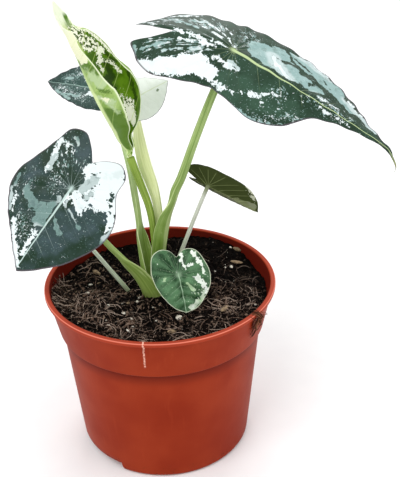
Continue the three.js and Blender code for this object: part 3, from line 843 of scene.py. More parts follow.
def leaning_fibres(name, count, seed):
    """Fibres heaped against the inner wall at the left. Each starts at a random place near the
    wall and leans up to it, bowed by half a sine wave upwards and sideways."""
    generator = np.random.default_rng(seed)
    share = np.linspace(0, 1, 9)
    start = generator.uniform(*LEANING_STARTS, (count, 1))
    climb = generator.uniform(*LEANING_CLIMBS, (count, 1))
    heading, turn, bow, bend = generator.normal(0, 1, (4, count, 1))
    arch = np.sin(np.pi * share)
    angle = np.radians(LEANING_ANGLE + 12 * heading + 6 * turn * share + 2.5 * bend * arch)
    height = SOIL_LEVEL + 2 + climb * share**1.2 + 0.8 * np.abs(bow) * arch
    height = np.minimum(height, LEANING_TOP)
    radius = start + (inner_radius(height) - 0.4 - start) * share
    thick = generator.uniform(*ROOT_THICKNESS, count)
    return thread_mesh(name, in_space(radius, angle, height), thick, generator)


print("the leaning fibres end", round(POT_HEIGHT - LEANING_TOP, 1), "mm under the rim")

# %% Roots that hang over the rim
# The compass angles of their upper and lower ends, the levels of their upper ends and of the
# rim's underside, how far they hang, and how the collar leans out with height.
HANGING_ANGLES = (-37, -33)
HANGING_TOP = 94.6
HANGING_DEPTHS = (6, 17.5)
RIM_UNDERSIDE = 91.6
OUTER_LEAN = 0.21


def hanging_roots(name, count, seed):
    """A clump of dry roots caught on the rim, hanging down the collar. In every root, the compass
    angle, the height and the distance from the wall are smooth waves of their own."""
    generator = np.random.default_rng(seed)
    share = np.linspace(0, 1, 16)
    start = generator.normal(HANGING_ANGLES[0], 1.4, count)
    end = generator.normal(HANGING_ANGLES[1], 2.4, count)
    depth = generator.uniform(*HANGING_DEPTHS, count)
    phase = generator.uniform(0, 2 * np.pi, (3, count, 1))
    wave = generator.uniform(0.6, 1.8, (count, 1))
    angle = np.radians(start[:, None] + (end - start)[:, None] * share
                       + wave * np.sin(share * 7 + phase[0]))
    height = HANGING_TOP - depth[:, None] * share**1.2 + 0.5 * np.sin(share * 9 + phase[1])
    collar = COLLAR_BOTTOM + (height - SHOULDER) * OUTER_LEAN
    wall = np.where(height > RIM_UNDERSIDE, RIM_RADIUS, collar)
    slack = 0.35 + generator.uniform(0.3, 2.6, (count, 1)) * np.sin(share * np.pi) ** 0.7
    radius = wall + slack + 0.3 * np.sin(share * 11 + phase[2])
    radius = np.where(share < 0.03, radius - 2, radius)
    thick = generator.uniform(*ROOT_THICKNESS, count)
    return thread_mesh(name, in_space(radius, angle, height), thick, generator)


print("the roots hang down to", HANGING_TOP - HANGING_DEPTHS[1], "mm above the floor")


# %% Colours of the soil
def soil_finish(name, dark, mid, pale, pale_share, rough=0.95, back_shade=0.85, varied=0.5):
    """Peat: brown where it is dry, with pale specks, and darkened nearly to black towards the back
    by painted shade, as strongly as moist says.
    Every crumb and fibre has a tint of its own between the dark and the pale colour, and varied
    is how much the tints differ."""
    recipe = Recipe(name, Specular_IOR_Level=0.04)
    place = recipe.place()
    x, y = recipe.parts(place, 2)
    grain = recipe.attribute("grain")[0]
    cloud = recipe.noise(place, 0.12, 4.0, 0.6)
    fine = recipe.noise(place, 1.4, 5.0, 0.7)
    dryness = cloud + fine * 0.7 + (grain - 0.5) * varied
    colour = recipe.blend(dark, mid, recipe.rise(dryness, 0.7, 1.15))
    speck = recipe.noise(place, 2.6, 3.0, 0.6)
    flecked = recipe.rise(speck + grain * varied * 0.44, 0.84 - pale_share, 0.96)
    colour = recipe.blend(colour, pale, flecked)
    # Painted shade: darker, nearly black, towards the back right, where leaves shade the soil.
    painted_back_shade = recipe.rise(y * 0.7 + x * 0.3 + cloud * 20.0, 14.0, 34.0)
    colour = recipe.blend(colour, dark, painted_back_shade * back_shade)
    roughness = recipe.rise(fine, 0.2, 0.8) * 0.2 + rough - 0.2
    return recipe.finish(Base_Color=colour, Roughness=roughness,
                         Normal=recipe.bump(fine + speck, 0.35, 0.8))


# For each finish: its dark, middle and pale colour, and what else differs.
SOIL_LOOKS = {
    "peat": ((7, 5, 4), (62, 48, 40), (132, 110, 92), dict(pale_share=0.04)),
    "peat_crumbs": ((16, 11, 9), (116, 94, 80), (212, 194, 170), dict(pale_share=0.12)),
    "peat_fibres": ((24, 16, 13), (112, 88, 74), (176, 158, 144),
                    dict(pale_share=0.06, rough=0.8, back_shade=0.7, varied=1.0)),
    "dry_roots": ((70, 40, 28), (136, 88, 64), (196, 150, 122),
                  dict(pale_share=0.1, rough=0.9, back_shade=0.0)),
    "perlite_dust": ((150, 140, 124), (222, 214, 200), (246, 242, 232),
                     dict(pale_share=0.1, rough=0.9, back_shade=0.0)),
}
PEAT = {name: soil_finish(name, rgb(*dark), rgb(*mid), rgb(*pale), **more)
        for name, (dark, mid, pale, more) in SOIL_LOOKS.items()}
print("finishes of the soil:", ", ".join(PEAT))


# %% The bed and what lies loose on it
def place_soil(piece, finish):
    """All of these pieces are parts of one node, the potting soil."""
    place_piece(piece, ["potting_soil"], finish)


place_soil(skin("soil_bed", soil_rings()), PEAT["peat"])
place_soil(crumb_mesh("soil_crumbs", count=2600, sizes=(0.3, 1.35), flatness=0.35, seed=11),
           PEAT["peat_crumbs"])
place_soil(crumb_mesh("soil_grit", count=6500, sizes=(0.12, 0.4), flatness=0.35, seed=14,
                      lift=0.5), PEAT["peat_crumbs"])
place_soil(fibre_mesh("soil_fibres", count=1150, seed=12), PEAT["peat_fibres"])
place_soil(leaning_fibres("wall_fibres", count=150, seed=33), PEAT["peat_fibres"])
place_soil(hanging_roots("rim_roots", count=26, seed=31), PEAT["dry_roots"])
place_soil(crumb_mesh("perlite_specks", count=130, sizes=(0.15, 0.45), flatness=0.6, seed=13,
                      rough=0.3, lift=0.7), PEAT["perlite_dust"])

# %% Larger specks, one by one
# Bits that lie on top: x, y, length, width, heading in degrees, and 0 for perlite or 1 for bark.
SPECKS = [
    (6.6, -38, 4.4, 2.8, 5, 1), (-14.9, -36.9, 3.3, 1.0, -55, 0), (-12.7, -33.8, 1.2, 1.0, 0, 0),
    (-24.8, -32.3, 1.6, 1.1, -40, 0), (-26.2, -28, 1.3, 0.8, 0, 0), (-39.2, -24, 1.2, 0.9, 0, 0),
    (-39, -32.6, 1.6, 0.9, -30, 1), (-26.4, -15, 1.7, 1.5, 20, 0), (-28.6, -11.8, 2.0, 0.9, -20, 1),
    (-16.6, -10.6, 1.9, 1.9, 90, 1), (-19.7, -10.8, 1.2, 0.9, 0, 0), (-11.2, -2.3, 2.6, 1.2, 50, 0),
    (-39.3, -6.5, 1.6, 1.0, 0, 0), (-42.9, -9.8, 1.4, 1.1, 60, 1), (-37.7, 7, 2.2, 1.3, 20, 0),
    (-33.5, 9.9, 2.4, 0.8, 30, 1), (-1.7, -25.7, 1.3, 1.2, 60, 0), (-3.7, -13.7, 1.0, 0.9, 0, 0),
    (38.2, 38.4, 1.7, 1.2, -40, 0), (34.7, 21.5, 1.6, 1.2, 30, 0), (48.8, -15.7, 1.4, 1.1, 0, 0),
    (28.9, 17.2, 1.4, 0.9, 20, 0), (42, 37, 5.2, 2.6, -35, 1),
]


print("larger specks:", len(SPECKS))


# %% Shapes of the specks
def speck_mesh(name, kind, seed):
    """The specks of one kind: pitted balls, stretched along their headings, half sunk in the
    soil."""
    specks = np.array([speck[:5] for speck in SPECKS if speck[5] == kind])
    generator = np.random.default_rng(seed)
    points, corners = lump(3)
    x, y, long, wide, heading = specks.T
    across, along, up = points.T
    knobs = 1 + 0.22 * bumps(across * 2 + 3 * up, along * 2 - up, 1, seed)
    half = np.stack([long, wide, 0.7 * wide], -1)[:, None] / 2
    push = generator.uniform(0.97, 1.03, (len(x), len(points), 1))
    shapes = points * knobs[:, None] * half * push
    cos, sin = np.cos(np.radians(heading))[:, None], np.sin(np.radians(heading))[:, None]
    shapes = np.stack([shapes[..., 0] * cos - shapes[..., 1] * sin,
                       shapes[..., 0] * sin + shapes[..., 1] * cos, shapes[..., 2]], -1)
    shapes += np.stack([x, y, soil_height(x, y) + 0.25 * wide], -1)[:, None]
    faces = corners + (np.arange(len(x)) * len(points))[:, None, None]
    return put_in_scene(name, shapes.reshape(-1, 3), faces.reshape(-1, 3).tolist())


print("perlite specks:", sum(speck[5] == 0 for speck in SPECKS))

# %% [markdown]
# ## Perlite and bark
# Perlite grains are white and full of pits. Bark chips are flat, brown and ridged. Each replaces
# one node, so it keeps that node's place: a ball is squashed to the grain's shape and pitted.

# %% Grains in the soil
# The node of each grain, its place x and y, and its size, in mm.
GRAINS = [
    ("perlite_1", 10, -24, 2.6), ("perlite_2", -14, -27, 1.8), ("perlite_3", -18, -22, 1.7),
    ("perlite_4", 26, 14, 1.9), ("perlite_5", 38, 22, 1.6), ("perlite_6", -38, -4, 1.7),
    ("perlite_7", -12, -9, 1.6), ("bark_chip_1", 41, 26, 3), ("bark_chip_2", 33, -18, 3.2),
    ("bark_chip_3", -36, 22, 2.8),
]
# How far the middle of a grain lies above the soil, as a share of its size.
GRAIN_LIFT = 0.1


def grain_rings(index, x, y, size, shape):
    """A ball whose radius varies with the direction, squashed to its shape, turned by its number,
    and set with its middle just above the soil."""
    up = np.linspace(-1, 1, 29)[1:-1, None] * np.pi / 2
    round_ = np.linspace(0, 2 * np.pi, 48, endpoint=False)
    ball = np.stack([np.cos(up) * np.cos(round_), np.cos(up) * np.sin(round_),
                     np.sin(up) + 0 * round_], -1)
    knobs = bumps(ball[..., 0] * 3 + ball[..., 2] * 2, ball[..., 1] * 3, 0.9, 40 + index)
    pits = bumps(ball[..., 0] * 9, ball[..., 1] * 9 + ball[..., 2] * 7, 1, 60 + index)
    ball = ball * (0.9 + 0.08 * knobs + 0.05 * pits)[..., None] * np.array(shape) * size
    tilt = Matrix.Rotation(index * 1.3, 3, "Z") @ Matrix.Rotation(0.25, 3, "X")
    return ball @ np.array(tilt).T + (x, y, soil_plan(x, y) + GRAIN_LIFT * size)


print("grains with a node of their own:", len(GRAINS))


# %% Finish of the grains, and placing them
def grain_finish(kind, low, high):
    """Chalky or woody, with clouds between a low and a high colour, and fine pits."""
    recipe = Recipe(kind, Specular_IOR_Level=0.3)
    place = recipe.place()
    coarse = recipe.noise(place, 0.9, 4.0, 0.6)
    fine = recipe.noise(place, 4.0, 4.0, 0.7)
    colour = recipe.blend(low, high, recipe.rise(coarse * 0.6 + fine * 0.5, 0.35, 0.62))
    return recipe.finish(Base_Color=colour, Roughness=0.8 + fine * 0.15,
                         Normal=recipe.bump(fine + coarse, 0.3, 0.7))


# For each kind: the shape of its grains, and their finish.
GRAIN_LOOKS = {
    "perlite": ((0.8, 0.6, 0.5),
                grain_finish("perlite_grain", rgb(120, 108, 92), rgb(228, 222, 208))),
    "bark": ((1.3, 0.5, 0.32), grain_finish("bark_chip", rgb(40, 30, 24), rgb(150, 128, 100))),
}
place_soil(speck_mesh("white_specks", kind=0, seed=21), GRAIN_LOOKS["perlite"][1])
place_soil(speck_mesh("bark_specks", kind=1, seed=22), GRAIN_LOOKS["bark"][1])
for index, (node, x, y, size) in enumerate(GRAINS):
    kind = node.split("_")[0]
    shape, finish = GRAIN_LOOKS[kind]
    place_piece(skin(node + "_grain", grain_rings(index, x, y, size, shape)), [node], finish)

# %% [markdown]
# ## Leaf stalks
# An alocasia leaf stands on a long round stalk. Near the crown the stalk opens into a sheath, a
# thin curved wall that wraps the younger stalks. Both are one sweep: a section carried along a
# smooth route. The section is an ellipse, and where it is a sheath the ellipse is bent round.

# %% Stations of the stalks
# Each station is x, y, z, half the width, half the thickness, and the bend of the section,
# which is one over its radius. "faces" is the compass angle of the section's outer side.
STALKS = {
    "stalk_left": (-123, [
        (-6.6, -2.7, 72.3, 11, 0.4, 0.1515), (-6.7, -2.8, 84, 10.5, 0.4, 0.1515),
        (-8.5, -3.1, 91, 7, 0.6, 0.15), (-12, -2.8, 98, 5.4, 0.8, 0.15),
        (-16, -2.6, 103.5, 3.6, 1, 0.12), (-19.3, -2.3, 108, 1.9, 1.5, 0),
        (-27, -2.6, 118, 1.5, 1.5, 0), (-34.5, -3.2, 133, 1.35, 1.35, 0)]),
    "stalk_rear_left": (154, [
        (-7.8, 5.1, 72.3, 9.2, 0.4, 0.1887), (-7.9, 5.1, 88, 8.8, 0.4, 0.1887),
        (-9.3, 5.1, 102, 7.4, 0.5, 0.2), (-10.2, 4.8, 115, 5.4, 0.6, 0.22),
        (-9.8, 5, 124, 2.6, 1.2, 0.1), (-11.2, 5.6, 140, 1.75, 1.75, 0),
        (-13.6, 10, 155, 1.6, 1.6, 0), (-18.5, 19, 171, 1.4, 1.4, 0)]),
    "stalk_right": (-18, [
        (0.8, 1.6, 72.3, 7.8, 0.4, 0.25), (1.1, 1.5, 88, 7.8, 0.45, 0.25),
        (2.6, 1.4, 108, 8, 0.6, 0.25), (4.3, 1.3, 120, 8, 0.7, 0.24), (5.9, 1.5, 130, 6, 1.2, 0.24),
        (7.8, 1.5, 137.5, 3.6, 1.8, 0.12), (9.2, 1.5, 143, 2.4, 2.2, 0),
        (12.4, 1.5, 150, 2.2, 2.2, 0), (20.5, 1, 172.5, 2.05, 2.05, 0),
        (29.2, 0.5, 194.5, 1.9, 1.9, 0)]),
    "stalk_rear_right": (66, [
        (-1.9, 5.3, 72.3, 4.5, 0.35, 0.37), (-1.8, 5.3, 90, 4.5, 0.35, 0.37),
        (-0.6, 5.3, 108, 4.2, 0.45, 0.36), (0.3, 5.8, 122, 3.2, 0.8, 0.22),
        (-0.3, 7, 134, 2.5, 1.5, 0), (-2.4, 8, 144, 3.4, 1.8, 0), (-5.4, 9, 154, 3.9, 1.8, 0),
        (-7.7, 11, 166.5, 3.3, 1.7, 0), (-8.6, 13.5, 176.5, 1.9, 1.5, 0)]),
    "stalk_furled": (90, [
        (-3, 2.8, 72.3, 1.7, 1.7, 0), (-2.8, 2.6, 90, 1.7, 1.7, 0), (-2, 2.2, 108, 1.7, 1.7, 0),
        (-2.9, 2.3, 125.5, 1.7, 1.7, 0), (-4.3, 2.8, 135, 1.9, 1.9, 0),
        (-7.2, 2.8, 145, 2, 2, 0), (-10.1, 2.8, 154, 2.1, 2.1, 0), (-12, 2.8, 161, 2, 2, 0)]),
    "stalk_small_right": (0, [
        (2.6, 7, 72.8, 1.4, 1.4, 0), (4.2, 8, 80, 1.4, 1.4, 0), (7.2, 8.3, 93, 1.35, 1.35, 0),
        (16, 8, 118, 1.25, 1.25, 0)]),
    "stalk_small_front": (0, [
        (4.5, -3.4, 72.6, 1.3, 1.3, 0), (5, -4.4, 80, 1.3, 1.3, 0),
        (6.8, -7.6, 90, 1.25, 1.25, 0)]),
    "stalk_small_left": (0, [
        (-11.6, 3.4, 73, 1.4, 1.4, 0), (-15.5, 4, 81, 1.4, 1.4, 0), (-28.3, 4.6, 100, 1.3, 1.3, 0),
        (-40.3, 7.4, 116, 1.15, 1.15, 0)]),
}
print("stations of all stalks:", sum(len(stations) for faces, stations in STALKS.values()))

# %% [markdown]
# ## Leaf blades
# A blade is drawn flat first. The distance u runs along the midrib from the stalk, and v to the
# left of it. Each side is an outline from the notch between the lobes to the tip. The flat leaf is
# then bent along its midrib, folded at it, and turned to where it stands.

# %% Shapes of the larger blades
# droop is the bend of the midrib in degrees over the lobes, over the leaf and over the drip tip,
# which starts at tip_from. wings are the angles by which the left and the right half hang below
# the midrib: at the lobes, at the stalk and at the tip.
BLADES = {
    "blade_left": dict(
        joint=(-41, -6, 149), yaw=208, pitch=47, roll=-45, droop=(10, 4, 0), tip_from=40,
        wings=((6, 6, 6), (6, 6, 6)),
        left=[(-16.5, 1), (-21, 6), (-24, 13), (-20, 18.5), (-11, 20), (-2, 25.5), (7, 28.5),
              (20, 25.5), (33, 18), (42, 9.5), (49, 1)],
        right=[(-16.5, 1), (-23, -5), (-27, -11.5), (-24, -18), (-15, -21), (-5, -24), (6, -28),
               (16, -27.5), (28, -20), (39, -9.5), (49, 1)]),
    "blade_right": dict(
        joint=(38.5, 0, 214), yaw=-12, pitch=29, roll=27, droop=(52, 6, 72), tip_from=80,
        wings=((27, 17, 20), (18, 18, 110)),
        left=[(-30, -1.5), (-40, -0.6), (-48, 2.2), (-58, 8.5), (-56, 16), (-46, 21), (-32, 24.5),
              (-18, 24.5), (-6, 24.5), (9, 29.5), (23, 31), (37, 30), (52, 25.5), (64, 18), (73, 9),
              (82, 3), (93, 1.4), (103, 0)],
        right=[(-30, -1.5), (-33.5, -3.8), (-42, -7.2), (-51, -9.2), (-47, -14.8), (-42.5, -20.5),
               (-35, -25), (-24, -26), (-10, -23.7), (2, -21.8), (11, -22.3), (20, -23.6),
               (29, -22.2), (36.5, -18.9), (41.5, -14.5), (47, -8.8), (55, -5.8), (65, -3.7),
               (76, -2.2), (90, -1.4), (103, 0)]),
    "blade_rear_left": dict(
        joint=(-25.7, 30, 186.3), yaw=147, pitch=0, roll=-24, droop=(20, 4, 0), tip_from=30,
        wings=((-8, -8, -8), (-8, -8, -8)),
        left=[(-6, 0), (-10, 4), (-12, 9), (-8, 14.5), (0, 16.5), (9, 14.5), (18, 11.5), (28, 6.5),
              (38, 0)],
        right=[(-6, 0), (-10, -4), (-12, -9), (-8, -14), (1, -17.5), (11, -17), (22, -14),
               (32, -7), (38, 0)]),
    "blade_rear_right": dict(
        joint=(-9.6, 16, 186.5), yaw=47, pitch=-9, roll=38, droop=(20, 6, 0), tip_from=18,
        wings=((14, 14, 14), (14, 14, 14)),
        left=[(-5, 0), (-8, 4), (-7, 9), (0, 12.5), (7, 12.5), (13, 10), (19, 6), (25, 0)],
        right=[(-5, 0), (-8, -4), (-7.5, -8.5), (-2, -11.5), (5, -12), (12, -10), (19, -5.5),
               (25, 0)]),
}
print("outlines of larger blades:", len(BLADES))

# %% Shapes of the small blades
BLADES.update({
    "blade_small_right": dict(
        joint=(26, 8, 143), yaw=-14, pitch=25, roll=-55, droop=(0, 4, 0), tip_from=20,
        wings=((-16, -16, -16), (-16, -16, -16)),
        left=[(-6, 0), (-11, 4), (-8.5, 8), (-2, 9.5), (6, 9.5), (14, 8), (22, 4.5), (28.5, 0)],
        right=[(-6, 0), (-13, -3), (-12, -8), (-4.5, -11.8), (5, -12.5), (14, -12.5), (20, -11),
               (25.5, -6.5), (28.5, 0)]),
    "blade_small_front": dict(
        joint=(10, -14, 104), yaw=-68, pitch=57, roll=0, droop=(0, 6, 0), tip_from=14,
        wings=((-5, -5, -5), (-5, -5, -5)),
        left=[(-9, 1), (-12, 6), (-10.5, 11.5), (-4, 15), (2.5, 16.3), (8.5, 15), (14, 10.8),
              (18, 6), (19.5, 0)],
        right=[(-9, 1), (-12.5, -2), (-14, -6.5), (-12, -11.5), (-6, -13.8), (0, -14),
               (6.5, -12.2), (12, -9), (16.5, -5), (19.5, 0)]),
    "blade_small_left": dict(
        joint=(-45.6, 10.2, 122.6), yaw=196, pitch=32, roll=-12, droop=(0, 8, 0), tip_from=14,
        wings=((4, 4, 4), (4, 4, 4)),
        left=[(-6, 0), (-9, 4), (-7.5, 8.5), (-1, 10.5), (6, 10), (13, 6.5), (19, 0)],
        right=[(-6, 0), (-9, -4), (-7.5, -8.5), (-1, -10.5), (6, -10), (13, -6.5), (19, 0)]),
})


def reach_of(blade):
    """The length from the stalk to the tip, and the length of the left lobe."""
    left = np.array(blade["left"])
    return left[-1, 0], -left[:, 0].min()


for node, blade in BLADES.items():
    print(f"{node}: {sum(reach_of(blade)):.0f} mm long")


# %% Where a flat point of a blade lies in space
def blade_axes(blade):
    """Forward, left and up of the turned leaf: rolled, then pitched, then turned to its compass
    angle."""
    turn = (Matrix.Rotation(np.radians(blade["yaw"]), 3, "Z")
            @ Matrix.Rotation(np.radians(blade["pitch"]), 3, "Y")
            @ Matrix.Rotation(np.radians(blade["roll"]), 3, "X"))
    return np.array(turn).T


def midrib_bend(blade, u):
    """Bend of the midrib at u: in proportion to u, and steeper over the drip tip."""
    length, lobes = reach_of(blade)
    over_lobes, over_leaf, over_tip = blade["droop"]
    steady = np.where(u > 0, over_leaf * u / length, over_lobes * u / lobes)
    curl = over_tip * np.maximum(0, u - blade["tip_from"]) / (length - blade["tip_from"])
    return np.radians(steady + curl)


def blade_place(blade, u, v, lift):
    """The place of the flat point (u, v), lifted off the leaf. The midrib's place is the sum of
    short steps in its upright plane, each turned by the bend there. The half leaf then hangs
    from it by the wing angle."""
    length, lobes = reach_of(blade)
    forward, left, up = blade_axes(blade)
    share = (np.arange(24) + 0.5) / 24
    steps = midrib_bend(blade, u[..., None] * share)
    ahead, rise = u * np.cos(steps).mean(-1), -u * np.sin(steps).mean(-1)
    bend = midrib_bend(blade, u)[..., None]
    local_up = up * np.cos(bend) + forward * np.sin(bend)
    at_lobes, at_stalk, at_tip = np.where(v[..., None] > 0, *blade["wings"]).T
    toward = np.clip(np.where(u > 0, u / length, -u / lobes), 0, 1)
    wing = np.radians(at_stalk.T + (np.where(u > 0, at_tip.T, at_lobes.T) - at_stalk.T) * toward)
    tilt = wing * np.minimum(1, np.abs(v) / 3)
    sideways = v * np.cos(wing) + lift * np.sign(v) * np.sin(tilt)
    upward = lift * np.cos(tilt) - np.abs(v) * np.sin(wing)
    return (np.array(blade["joint"]) + ahead[..., None] * forward + rise[..., None] * up
            + sideways[..., None] * left + upward[..., None] * local_up)


long_tip = blade_place(BLADES["blade_right"], np.array([103.0]), np.zeros(1), 0)[0]
print("tip of the long leaf:", long_tip.round(1))


# %% Veins of a blade
def vein_map(u, v, slope, spacing, fan):
    """Number and length of the side vein through each point. In front of the first vein, the
    veins leave the midrib at even distances and run forward by slope for each mm outwards. Behind
    it they fan out from the stalk, one every so many degrees."""
    across = np.abs(v)
    ahead = u - slope * across
    first = np.arctan2(1, slope)
    angle = np.arctan2(across, u)
    number = np.where(ahead > 0, ahead / spacing, -(angle - first) / np.radians(fan))
    gap = np.where(ahead > 0, spacing * np.sin(first), np.hypot(u, v) * np.radians(fan))
    outward = np.where(ahead > 0, across / np.sin(first), np.hypot(u, v))
    return number, outward, gap


def stroke_field(strokes, u, v, paint, start):
    """How far each point lies inside the strokes of one paint, in mm, and below 0 outside them.
    A stroke is a straight line with round ends. Later strokes cover earlier ones, mint covers
    white, and dark covers both."""
    field = np.full(u.shape, start, float)
    covers = {"white": ("dark", "mint"), "mint": ("dark",)}.get(paint, ())
    for colour, u0, v0, u1, v1, radius in strokes:
        along = np.array([u1 - u0, v1 - v0], float)
        share = ((u - u0) * along[0] + (v - v0) * along[1]) / max(along @ along, 1e-6)
        share = np.clip(share, 0, 1)
        inside = radius - np.hypot(u - u0 - share * along[0], v - v0 - share * along[1])
        if colour == paint:
            field = np.maximum(field, inside)
        elif colour in covers:
            field = np.minimum(field, -inside)
    return field


front_point = np.full(1, 12.0)
vein_facts = vein_map(front_point, front_point, 0.6, 7, 24)
print("number, length and gap of a vein:", [round(fact[0], 1) for fact in vein_facts])

# %% Margin of a blade
BLADE_THICKNESS = 0.5
# How far outside every stroke the open leaf counts as, in mm.
OPEN = 5.0


def outline_of(blade, columns, wave):
    """The margin at even distances, from the notch round the left side, over the tip and back
    round the right side. It waves in and out a little."""
    sides = [through(blade[side], 400) for side in ("left", "right")]
    whole = np.concatenate([sides[0], sides[1][::-1][1:-1]])
    length = np.concatenate([[0], np.cumsum(np.linalg.norm(np.diff(whole, axis=0), axis=1))])
    wanted = np.linspace(0, length[-1], columns, endpoint=False)
    margin = np.stack([np.interp(wanted, length, whole[:, k]) for k in (0, 1)], -1)
    ripple = 1 + wave * np.sin(wanted / 4.1) * np.sin(wanted / 9.7 + 1)
    return margin * ripple[:, None]


def paint_fields(strokes, u, v):
    """How far each point lies inside the strokes of each paint."""
    return [stroke_field(strokes, u, v, paint, -OPEN)
            for paint in ("white", "mint", "fleck", "slate")]


even_margin = outline_of(BLADES["blade_left"], 380, 0)
print("width of the left leaf:", round(np.ptp(even_margin[:, 1]), 1), "mm")


# %% A blade's surface
def leaf(name, blade, columns, rows, veins, relief, strokes, seed):
    """The closed skin of a blade. Both faces are polar grids round the stalk, whose rings are the
    margin at a smaller and smaller scale. A face lies half the thickness off the middle surface,
    less towards the margin: thickness = T sqrt(1 - share^2). The leaf swells between its veins
    like a quilt, and dips at the veins and the midrib."""
    quilt, groove, wave, scallop = relief
    margin = outline_of(blade, columns, scallop)
    share = np.sin(np.linspace(0.004, 1, rows) * np.pi / 2)
    share = np.concatenate([share, share[-2::-1]])[:, None]
    top = (np.arange(len(share)) < rows)[:, None] * 2.0 - 1
    u, v = share * margin[:, 0], share * margin[:, 1]
    number, outward, gap = vein_map(u, v, *veins)
    aside = number * veins[1] * np.sin(np.arctan2(1, veins[0]))
    width = 1 - smooth_step(share, 0.75, 1.0)
    swell = (0.5 - 0.5 * np.cos(2 * np.pi * number)) * quilt * width * np.clip(gap / 6, 0, 1)
    rib = np.exp(-(v / 1.1) ** 2) * smooth_step(share, 1.0, 0.9)
    edge = wave * smooth_step(share, 0.55, 1) * np.sin(2 * np.pi * number + 1)
    uneven = (0.25 * bumps(u, v, 9, seed) + 0.08 * bumps(u, v, 3.5, seed + 20)) * width
    lift = top * BLADE_THICKNESS / 2 * np.sqrt(1 - share**2) + swell + edge + uneven
    lift = lift - groove * rib * np.where(top > 0, 1, 1.7)
    piece = skin(name + "_surface", blade_place(blade, u, v, lift))
    fields = paint_fields(strokes, u, v)
    write_attribute(piece, "leaf", spread(u, v, share))
    write_attribute(piece, "vein", spread(number, outward, gap))
    write_attribute(piece, "tone", spread(*fields[:3]))
    write_attribute(piece, "shade", spread(fields[3], top, aside))
    return piece


print("a blade is", BLADE_THICKNESS, "mm thick, and thinner towards its margin")

# %% [markdown]
# ## The variegation
# White and mint sectors are cell lines without green pigment, so their edges are ragged and
# follow the veins, and small splashes of them lie all over the green. Painting them as an
# image would be the usual way. Here every broad patch is a stroke that the mesh stores as a
# distance from its edge. The material adds noise stretched along the veins to that distance, and
# colours what is above zero, which gives the ragged edges and the small splashes.

# %% What the colours of a leaf are made of
def leaf_wires(recipe, seed, ragged, streaky, midrib):
    """The numbers that the mesh stores, noises of several sizes, and the patches and veins made
    of both, all kept in w under short names. The noise that makes a patch ragged is the sum of
    clouds 3 mm wide, streaks along the veins, blobs and fine grain."""
    w = SimpleNamespace()
    w.u, w.v, w.share, _ = recipe.attribute("leaf")
    number, w.outward, w.gap, _ = recipe.attribute("vein")
    w.white_in, mint_in, w.fleck_in, _ = recipe.attribute("tone")
    w.slate_in, w.top, aside, _ = recipe.attribute("shade")
    w.spot = recipe.vector(w.u, w.v, seed)
    w.cloud = recipe.noise(w.spot, 0.12, 3.0, 0.6)
    w.clouds = recipe.noise(w.spot, 0.33, 2.0, 0.55)
    w.grain = recipe.noise(w.spot, 1.5, 3.0, 0.6)
    blobs = recipe.noise(w.spot, 0.8, 1.0, 0.5)
    streak = recipe.noise(recipe.vector(aside, w.outward * 0.4, seed + 7.0), 0.7, 2.0, 0.6, 0.5)
    white_edge = (w.clouds * 5.0 + streak * 2.0 + blobs * 3.5 + w.grain * 2.5 - 6.5) * ragged
    w.is_white = recipe.rise(w.white_in + white_edge, -0.08, 0.14)
    other = recipe.noise(w.spot, 0.4, 3.0, 0.6) - 0.5
    mint_edge = ((streak + blobs - 1.0) * -2.0 + other * 6.0) * ragged
    w.is_mint = recipe.rise(mint_in + mint_edge, -0.08, 0.14)
    dotty = recipe.noise(recipe.vector(w.u * 0.7, w.v, seed + 3.0), 1.5, 2.0, 0.6)
    drawn = recipe.noise(recipe.vector(aside, w.outward * streaky, seed + 5.0), 1.1, 2.0, 0.6)
    w.fine_streak = dotty + (drawn - dotty) * (1 - recipe.rise(w.u, -9.0, -1.0))
    w.off = recipe.off_whole(number) * w.gap
    w.line = (1 - recipe.rise(w.off, 0.06, 0.24)) * (1 - recipe.rise(w.share, 0.7, 0.95))
    width = midrib[0] + (midrib[1] - midrib[0]) * recipe.rise(w.u, 0.0, 40.0)
    middle = 1 - recipe.rise(recipe.size_of(w.v) / width, 0.5, 1.0)
    w.middle = middle * recipe.rise(w.u, -3.0, 1.0)
    return w


print("wires of a leaf: where it is white or mint, how far off a vein, and noises")


# %% Green tissue and its flecks
def green_tissue(recipe, w, greens, quilt_shading):
    """Dark green, smoother and paler in clouds and where the slate strokes are, and with dark
    grain.
    Painted light makes it paler between the veins, as strongly as quilted says."""
    smooth = recipe.rise(w.slate_in + (w.cloud - 0.5) * 8.0, -2.5, 2.0)
    paler = recipe.rise(w.cloud, 0.4, 0.65) * 0.45 + smooth * 0.55
    green = recipe.blend(greens[0], greens[1], paler)
    # Painted light: paler between the veins, where the swollen tissue is lit.
    between = recipe.rise(w.off * 2 / w.gap + (w.clouds - 0.5) * 1.2, 0.25, 0.9)
    green = recipe.blend(green, greens[1], between * quilt_shading)
    return recipe.blend(green, greens[0], recipe.rise(w.grain, 0.5, 0.75) * 0.35)


def with_flecks(recipe, w, colour, mint, white, seed, flecked):
    """Flecks are streaks above a height that falls where the fleck strokes are. Small round dots
    lie among them."""
    chance = w.fine_streak + (w.clouds - 0.5) * 0.5 + w.fleck_in * 0.022 + flecked
    bright = recipe.rise(recipe.noise(w.spot, 0.5), 0.45, 0.6)
    fleck = recipe.rise(chance, 0.6, 0.63)
    colour = recipe.blend(colour, recipe.blend(mint, white, bright), fleck * 0.85)
    dots = recipe.noise(recipe.vector(w.u, w.v, seed + 11.0), 1.3, 1.0, 0.4)
    return recipe.blend(colour, mint, recipe.rise(dots, 0.69, 0.73) * 0.6)


print("first layers of a leaf's colour: green, flecks")


